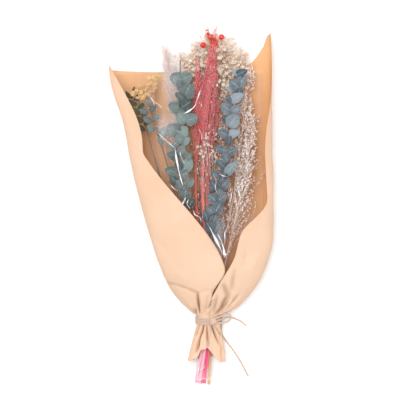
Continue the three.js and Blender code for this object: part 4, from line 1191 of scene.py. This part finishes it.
def statice_head(number, seed, start, count, reach):
    """A cloud of tiny buds on forked twigs, short ones up the stem from start and long ones below."""
    rng, stem, wood = grow(f"statice_{number}", seed, 0.5)
    buds = Clay("tint")
    share = np.sort(rng.uniform(start, 1, count))
    y = stem.high * share
    reaches = reach * (1.25 - 0.5 * share)
    first = branches(*stem.shoots(y), angle=0.5, reach=reaches, rng=rng, flat=0.9)
    twigs(wood, first, thick=0.32, thin=0.2, tint=rng.random(count))
    low = stem.high * rng.uniform(0.30, 0.75, STATICE_LONG_TWIGS)
    fan = branches(*stem.shoots(low), angle=0.38, reach=46, rng=rng, steps=8, arch=0.1)
    twigs(wood, fan, thick=0.34, thin=0.2, tint=rng.random(STATICE_LONG_TWIGS))
    places, headings = stations(fan, np.linspace(0.45, 1, 9))
    places = places + rng.normal(0, 1.1, places.shape)
    scales = rng.uniform(0.6, 1.2, len(places))
    scatter(buds, BUD, places, frames_for(headings, rng), scales, tint=rng.random(len(places)))
    forks = stations(first, np.linspace(0.35, 1, 5))
    second = branches(*forks, angle=0.7, reach=4.6, rng=rng, steps=3)
    twigs(wood, second, thick=0.2, thin=0.14, sides=3, tint=rng.random(len(second)))
    places, headings = stations(second, (0.6, 1.0))
    places = places + rng.normal(0, 1.0, places.shape)
    scales = np.array([1.05, 1.05, 1.4]) * rng.uniform(0.5, 1.35, (len(places), 1))
    tint = tints(rng, 0.70, 0.35, len(places))
    scatter(buds, BUD, places, frames_for(headings, rng), scales, tint=tint)
    make(f"statice_stalks_{number}", wood, PALE_TWIG, [f"statice_{number}"])
    make(f"statice_buds_{number}", buds, WHITE_BUD, [f"statice_{number}"])


RED_STEPS = 22
RED_STATIONS = 30
# The last points of a strand's RED_STEPS, along which its seeds are.
RED_HEAD_STEPS = 5
# The middle of the head and its reach, as shares of the stem's height above the tie.
RED_HEAD, RED_HEAD_REACH = 0.82, 0.11
# The feet lie side by side, FEET_WIDTH wide at the tie and FEET_SPREAD wider at their cut ends.
FOOT_RADIUS, FEET_WIDTH, FEET_SPREAD = 1.05, 3.64, 5.88
# The dye starts this far below the neck's top and is full DYE_REACH further down.
DYE_START, DYE_REACH = 2, 16


def red_broom(number, seed, strands, band, spread, lean, feet):
    """Fine strands side by side, which feather apart near the top and carry small seeds. Below
    the tie they end in a few thick dyed feet. band, spread and lean are how much wider the
    strands get above the tie and in the head, and how far the head leans right."""
    rng = np.random.default_rng(seed)
    stem = stems[f"red_{number}"]
    wood, seeds = Clay("tint", "dye"), Clay("tint")
    y = np.arange(stem.low, 14, 3.0)
    dye = np.clip((-y - DYE_START) / DYE_REACH, 0, 1)
    for k in range(feet):
        foot = stem.at(y)
        part = (k + 0.5) / feet - 0.5
        foot[:, 0] += part * (FEET_WIDTH + FEET_SPREAD * np.clip(-y / 90, 0, 1))
        foot[:, 2] += 1.4 * math.sin(2.3 * k) + 0.3 * wobble(foot, 14, k)
        radii = (FOOT_RADIUS + 0.1 * math.sin(5 * k)) * (1 + 0.06 * wobble(foot, 5, seed + k))
        tube(wood, foot, radii, 8, tint=0.3 + 0.5 * rng.random(), dye=dye)
    top = stem.high * (1.04 - 0.22 * rng.random(strands) ** 1.2)
    along = top[:, None] * np.linspace(0, 1, RED_STEPS)[None]
    lines = stem.at(along.ravel()).reshape(strands, RED_STEPS, 3)
    turn = rng.uniform(0, 2 * np.pi, strands)
    reach = np.sqrt(rng.random(strands))[:, None]
    share = along / stem.high
    head = np.exp(-((share - RED_HEAD) / RED_HEAD_REACH) ** 2)
    width = 1.2 + band * np.clip(along / 90, 0, 1) + spread * head
    sway = 0.5 * np.sin(along / 23 + turn[:, None] * 3)
    lines[..., 0] += reach * width * np.cos(turn)[:, None] + sway + lean * share**6
    lines[..., 2] += reach * (0.8 + 0.45 * width) * np.sin(turn)[:, None]
    twigs(wood, lines, thick=0.5, thin=0.16, tint=rng.random(strands), dye=0.0)
    tops = lines[:, -RED_HEAD_STEPS:]
    shade = rng.random(strands)
    for s in np.linspace(0, 1, RED_STATIONS):
        reaches = 6.0 + 14.0 * s * (1.1 - s)
        sprigs = branches(*along_lines(tops, s), angle=0.55, reach=reaches, rng=rng, steps=3)
        twigs(wood, sprigs, thick=0.13, thin=0.08, sides=3, tint=rng.random(strands), dye=0.0)
        for part in (0.55, 0.8, 1.0):
            places, headings = along_lines(sprigs, part)
            places = places + rng.normal(0, 0.7, places.shape)
            scales = np.array([0.5, 0.5, 1.3]) * rng.uniform(0.5, 1.5, (strands, 1))
            tint = tints(rng, 0.65 * shade + 0.35 * s, 0.2)
            scatter(seeds, SEED, places, frames_for(headings, rng), scales, tint=tint)
    material = PINK_STEM if number == 1 else RED_STEM
    make(f"red_stems_{number}", wood, material, [f"red_broom_{number}"])
    make(f"red_seeds_{number}", seeds, RED_SEED, [f"red_broom_{number}"])


def plume(number, seed, start, hairs, reach):
    """A soft plume: fine arching hairs all round the top of its stem."""
    rng, stem, wood = grow(f"plume_{number}", seed, 0.6)
    hair = Clay("tint")
    share = rng.uniform(0, 1, hairs)
    y = stem.high * (start + (1 - start) * share)
    swell = np.sin(np.pi * np.clip(0.08 + 0.9 * share, 0, 1)) ** 0.7
    reaches = reach * (0.45 + 0.55 * swell)
    lines = branches(*stem.shoots(y), angle=0.55, reach=reaches, rng=rng, flat=1.0, arch=0.5)
    twigs(hair, lines, thick=0.22, thin=0.10, sides=3, tint=rng.random(hairs))
    places, headings = stations(lines, (0.6, 0.8, 1.0))
    scales = np.array([0.28, 0.28, 0.9]) * rng.uniform(0.6, 1.3, (len(places), 1))
    scatter(hair, SEED, places, frames_for(headings, rng), scales, tint=rng.random(len(places)))
    make(f"plume_stalk_{number}", wood, PALE_TWIG, [f"pale_plume_{number}"])
    make(f"plume_hairs_{number}", hair, PLUME_HAIR, [f"pale_plume_{number}"])


# Where the orange-cream flowers are, how high, and the form, size and lift of each ring of petals.
YELLOW_HEIGHTS = (27, 34)
YELLOW_STALK = 22
YELLOW_RINGS = [(CUPPED_FLOWER, 5.4, 0), (CUPPED_FLOWER, 3.9, 0.9), (FLOWER, 2.6, 1.7)]
YELLOW_FLOWERS = [
    (-99, 314), (-95, 323), (-91, 324), (-97, 309), (-92, 315), (-103, 313), (-89, 308), (-81, 325),
    (-76, 326), (-84, 320), (-78, 316), (-70, 337), (-73, 332), (-84, 312), (-75, 320), (-79, 333),
]


def yellow_flowers(seed):
    """Flowers of three rings of petals, each on its own stalk."""
    rng, stem, wood = grow("yellow", seed, 0.4)
    petals = Clay("tint")
    tips = np.array([(x, y, rng.uniform(*YELLOW_HEIGHTS)) for x, y in YELLOW_FLOWERS])
    base = stem.at(np.minimum(tips[:, 1] - YELLOW_STALK, stem.high))
    bend = base * 0.35 + tips * 0.65 + (0, -5, -1)
    twigs(wood, curves(base, bend, tips, 6), thick=0.5, thin=0.35, tint=0.4)
    headings = unit(unit(tips - base) + 1.1 * UP + rng.normal(0, 0.2, tips.shape))
    for form, size, lift in YELLOW_RINGS:
        places = tips + headings * lift
        tint = tints(rng, 0.6, 0.25, len(tips))
        scales = size * rng.uniform(0.75, 1.1, len(tips))
        scatter(petals, form, places, frames_for(headings, rng), scales, tint=tint)
    make("yellow_stalks", wood, STRAW, ["yellow_bloom"])
    make("yellow_flowers", petals, YELLOW_PETAL, ["yellow_bloom"])


# Where each berry and bud of the sprig is, and its radius.
BERRIES = [(-6, 381, 4.2), (20, 392, 3.9)]
RED_BUDS = [
    (1, 397, 2.3), (3.6, 390.5, 2.0), (9.6, 390, 2.4), (13, 387, 2.0), (7, 385.5, 1.9), (5.6, 394.5, 1.5),
    (10.6, 382, 2.0), (-0.8, 402, 1.3), (1.6, 392, 1.6), (14, 382, 1.6),
]
BERRY_LIFT = 15
# The first stalk leaves this far below the stem's tip, and the next ones a little higher each.
BERRY_STALK = 16
BERRY_STALK_RADIUS = 0.55
# A berry's crowns: which end each is on, its size as a share of the berry's radius, and its tint.
CROWNS = [(1, 0.34, 0.2), (-1, 0.42, 0.4)]
RED_SPURS = 9
SPUR_LIFT = 8


def berry_sprig(seed):
    """The berries and buds, each dimpled, with a small crown at both ends, and red spurs by them."""
    rng, stem, wood = grow("berry", seed, 0.5, sides=9)
    skins, crowns, spurs = Clay("tint"), Clay("tint"), Clay("tint", "dye")
    round_form, faces = ball(20, 14)
    for i, (x, y, radius) in enumerate(BERRIES + RED_BUDS):
        base = stem.at(stem.high - BERRY_STALK + 2 * min(i, 7))
        place = np.array([x, y, base[2] + BERRY_LIFT + 2 * math.sin(2.1 * i)])
        middle = (base + place) / 2 + np.array([0, 1.5, 1.0])
        tube(wood, resample([base, middle, place], 1.5), BERRY_STALK_RADIUS, 6, tint=0.4)
        heading = unit(place - middle)
        turned = frames_for(heading[None], rng)
        dimple = 1 - 0.10 * np.exp(-((round_form[:, 2] - 1) / 0.06) ** 2)
        ribbed = 1 + 0.02 * np.cos(5 * np.arctan2(round_form[:, 1], round_form[:, 0]))
        shaped = round_form * (dimple * ribbed)[:, None] * (radius, radius, radius * 1.08)
        skins.add(place + shaped @ turned[0], faces, tint=rng.random())
        for way, size, tint in CROWNS:
            end = place[None] + way * heading * radius * 0.98
            scatter(crowns, FLOWER, end, turned, [radius * size], tint=tint)
    spur_y = stem.high - rng.uniform(0, 14, RED_SPURS)
    lines = branches(*stem.shoots(spur_y), angle=0.4, reach=22, rng=rng)
    lines[..., 2] += SPUR_LIFT
    twigs(spurs, lines, thick=0.55, thin=0.25, tint=0.1 * rng.random(RED_SPURS), dye=0.0)
    make("berry_spurs", spurs, RED_STEM, ["berry_sprig"])
    make("berry_stalks", wood, TAN_STEM, ["berry_sprig"])
    make("berry_crowns", crowns, YELLOW_PETAL, ["berry_sprig"])
    make("berries", skins, BERRY_SKIN, ["berry_sprig"])


# -------- twine

TWINE_RADIUS = 1.1
TWINE_TURNS = 4
TWINE_PITCH = 2.3
TWINE_GAP = 0.5
TIE_Y = -NECK_LENGTH / 2
KNOT_TURN = -0.3
KNOT_SIZE = np.array([4.2, 5.8, 3.0])
# How each loop of the knot is turned and how far it is lifted.
KNOT_LOOPS = [(0.5, 0.3), (-0.6, 1.0), (1.4, 0.7)]
# The loops' reach across and along the bunch, and how far they wave up and down.
KNOT_LOOP_SIZE = (2.3, 4.1, 0.5)
KNOT_CORE = 0.72
# Each ply's radius and how far it is from the middle, as shares of the twine's radius.
PLY_RADIUS, PLY_OFFSET = 0.60, 0.46
PLY_PITCH = 6.2
FIBRES_PER_MM = 0.9
BOW_LOOP = [
    [12.4, -3, 34], [15.4, -1.8, 34.8], [18.6, -0.2, 34.6], [21.8, 1.4, 33.6], [25, 2.5, 31.9],
    [28, 2.8, 29.7], [30.8, 2, 27.4], [32.8, 0.1, 25.2], [33.5, -2.6, 23.6], [32.5, -5.4, 23.2],
    [30, -7.6, 24.2], [27, -8.9, 26], [23.6, -9.6, 28.4], [20, -9.8, 30.6], [16.8, -9.6, 32.2],
    [13.4, -9.3, 33.2],
]
SHORT_END = [
    [13.5, -6, 32.6], [15.8, -5.6, 31.9], [18.4, -5, 30], [20.9, -4.5, 26.9], [23.2, -4.1, 23],
    [25.3, -3.8, 18.9], [27.3, -3.6, 14.7], [29.4, -3.6, 10.6], [31.8, -4, 6.8], [34.6, -4.7, 3.6],
    [37.8, -5.8, 1.7], [41.2, -7, 1.2], [44.6, -8.4, 1.2], [48, -10.3, 1.2], [51.8, -13, 1.2],
    [55.7, -16.4, 1.2],
]
LONG_END = [
    [20.6, -9.5, 9.3], [21, -12.2, 5.8], [20.8, -15.4, 3], [20.4, -19.4, 1.5], [20.3, -24.4, 1.2],
    [21.6, -29.8, 1.2], [25.2, -35.8, 1.2], [30, -41.8, 1.2], [34.8, -48.2, 1.2], [39.5, -55, 1.2],
    [43.9, -61.6, 1.2], [48, -68.4, 1.2], [51.8, -75.2, 1.2], [55.4, -82.2, 1.2], [59, -89, 1.2],
]


def strand(clay, line, rng):
    """Three plies twisted round one another along a line, with loose fibres on them."""
    line = resample(line, 0.55)
    side, upright, _ = frames_along(line)
    arc = np.concatenate([[0], np.cumsum(np.linalg.norm(np.diff(line, axis=0), axis=1))])
    for ply in range(3):
        turn = (2 * np.pi * (arc / PLY_PITCH + ply / 3))[:, None]
        offset = (side * np.cos(turn) + upright * np.sin(turn)) * PLY_OFFSET * TWINE_RADIUS
        radii = PLY_RADIUS * TWINE_RADIUS * (1 + 0.10 * wobble(line + offset, 2.2, ply + 1))
        tube(clay, line + offset, radii, 7)
    count = int(arc[-1] * FIBRES_PER_MM)
    at = rng.integers(1, len(line) - 1, count)
    turn = rng.uniform(0, 2 * np.pi, count)[:, None]
    out = side[at] * np.cos(turn) + upright[at] * np.sin(turn)
    ahead = unit(line[at + 1] - line[at]) * rng.choice([-1, 1], count)[:, None]
    base = line[at] + out * 0.8 * TWINE_RADIUS
    s = np.linspace(0, 1, 4)[None, :, None]
    length = rng.uniform(0.8, 2.6, count)[:, None, None]
    bent = (0.5 * out + 0.8 * ahead)[:, None] * s + out[:, None] * 0.3 * s**2
    hairs = base[:, None] + bent * length
    hairs[..., 2] = np.maximum(hairs[..., 2], 0.1)
    twigs(clay, hairs, thick=0.06, thin=0.04, sides=3)
    return line


def on_neck(turn, y, out):
    """Places at a turn from the top of the neck, that far out from the paper."""
    oval = paper_oval(np.array(TIE_Y))
    place = on_oval(oval, np.asarray(turn, float), np.full(np.shape(turn), -out))
    return np.stack([place[..., 0], np.broadcast_to(y, np.shape(turn)), place[..., 1]], -1)


def twine():
    """The turns round the neck with the knot on them, the bow loop and the two ends."""
    rng = np.random.default_rng(61)
    turns = Clay("tint")
    s = np.linspace(0, 1, 48 * TWINE_TURNS)
    out = TWINE_GAP + TWINE_RADIUS
    y = TIE_Y + TWINE_PITCH * TWINE_TURNS * (0.5 - s)
    strand(turns, on_neck(KNOT_TURN - 2 * np.pi * TWINE_TURNS * s, y, out), rng)
    middle = on_neck(np.array(KNOT_TURN), TIE_Y, KNOT_SIZE[2])
    around = np.linspace(-0.3, 2 * np.pi - 0.5, 26)
    ring = np.stack([np.cos(around), np.sin(around), np.sin(around * 2)], -1) * KNOT_LOOP_SIZE
    for tilt, lift in KNOT_LOOPS:
        c, s = math.cos(tilt), math.sin(tilt)
        turned = ring @ np.array([[c, s, 0], [-s, c, 0], [0, 0, 1]])
        strand(turns, middle + turned + UP * lift, rng)
    core, faces = ball(14, 10)
    turns.add(middle + core * KNOT_SIZE * KNOT_CORE, faces)
    make("twine_turns", turns, JUTE, ["twine_tie"])
    ends = {"twine_loop": ("twine_bow_loop", BOW_LOOP, "object"),
            "twine_short": ("twine_short_end", SHORT_END, "bare"),
            "twine_long": ("twine_long_end", LONG_END, "bare")}
    for name, (node, places, far_end) in ends.items():
        cord = Clay("tint")
        line = strand(cord, places, rng)
        piece = make(name, cord, JUTE, [node])


# -------- the bunch

paper = kraft_paper()
film, film_points = clear_film()
folds = film_folds(film_points)

leafy("eucalyptus_left", stems["left"], LEFT_LEAVES, EUCALYPTUS, pairs=8, seed=11)
leafy("eucalyptus_right", stems["right"], RIGHT_LEAVES, EUCALYPTUS_BLUE, pairs=10, seed=12)
leafy("eucalyptus_side", stems["side"], SIDE_LEAVES, EUCALYPTUS, pairs=3, seed=13)
leafy("ruscus", stems["ruscus"], RUSCUS_LEAVES, RUSCUS_LEAF, pairs=3, seed=14,
      blunt=0.75, early=0.9)
for number in range(1, 6):
    cream_head(number, seed=20 + number)
statice_head(1, seed=31, start=0.56, count=50, reach=17)
statice_head(2, seed=32, start=0.58, count=40, reach=15)
statice_head(3, seed=33, start=0.60, count=34, reach=14)
red_broom(1, seed=41, strands=17, band=0.2, spread=9, lean=1, feet=5)
red_broom(2, seed=42, strands=22, band=2.0, spread=9, lean=7, feet=4)
red_broom(3, seed=43, strands=10, band=0.5, spread=8, lean=-6, feet=3)
plume(1, seed=51, start=0.42, hairs=760, reach=19)
plume(2, seed=52, start=0.42, hairs=700, reach=18)
yellow_flowers(seed=53)
white_florets(seed=55)
berry_sprig(seed=54)
twine()

# -------- floor, light and camera

FLOOR_REACH = 4
FLOOR_DROP = 0.0004
VIEW_MIDDLE = (-10.2, 163.6)
VIEW_WIDTH = 0.564
# How far the camera is above the height at which its view is VIEW_WIDTH wide.
CAMERA_HEIGHT = 1.6
VIEW_HEIGHT = 0.03
WORLD_LIGHT = 0.70
SENSOR = 36.0

floor_mesh = bpy.data.meshes.new("floor")
corners = [(x * FLOOR_REACH, y * FLOOR_REACH, -FLOOR_DROP) for x, y in ((-1, -1), (1, -1), (1, 1), (-1, 1))]
floor_mesh.from_pydata(corners, [], [(0, 1, 2, 3)])
floor = bpy.data.objects.new("floor", floor_mesh)
bpy.context.scene.collection.objects.link(floor)
ground = Nodes("floor_paint", Roughness=0.9)
ground.colour(ground.ramp(ground.noise(300, 2), (0.3, (0.93, 0.93, 0.93)), (0.7, (0.96, 0.96, 0.96))))
floor_mesh.materials.append(ground.material)

world = bpy.data.worlds.new("studio")
bpy.context.scene.world = world
world.use_nodes = True
background = world.node_tree.nodes["Background"]
background.inputs["Color"].default_value = (1, 1, 1, 1)
background.inputs["Strength"].default_value = WORLD_LIGHT


def softbox(name, place, size, power):
    lamp = bpy.data.lights.new(name, "AREA")
    lamp.shape = "RECTANGLE"
    lamp.size, lamp.size_y = size
    lamp.energy = power
    light = bpy.data.objects.new(name, lamp)
    light.location = place
    light.rotation_euler = (-Vector(place)).to_track_quat("-Z", "Y").to_euler()
    bpy.context.scene.collection.objects.link(light)


softbox("key", place=(-0.30, 0.28, 2.0), size=(1.0, 1.0), power=30)
softbox("fill", place=(1.2, -0.5, 1.7), size=(1.6, 1.6), power=7)

lens = bpy.data.cameras.new("camera")
lens.sensor_width = SENSOR
lens.lens = SENSOR * CAMERA_HEIGHT / VIEW_WIDTH
camera = bpy.data.objects.new("camera", lens)
camera.location = (*to_frame((*VIEW_MIDDLE, 0))[:2], CAMERA_HEIGHT + VIEW_HEIGHT)
bpy.context.scene.collection.objects.link(camera)
bpy.context.scene.camera = camera
bpy.context.scene.view_settings.view_transform = "Standard"
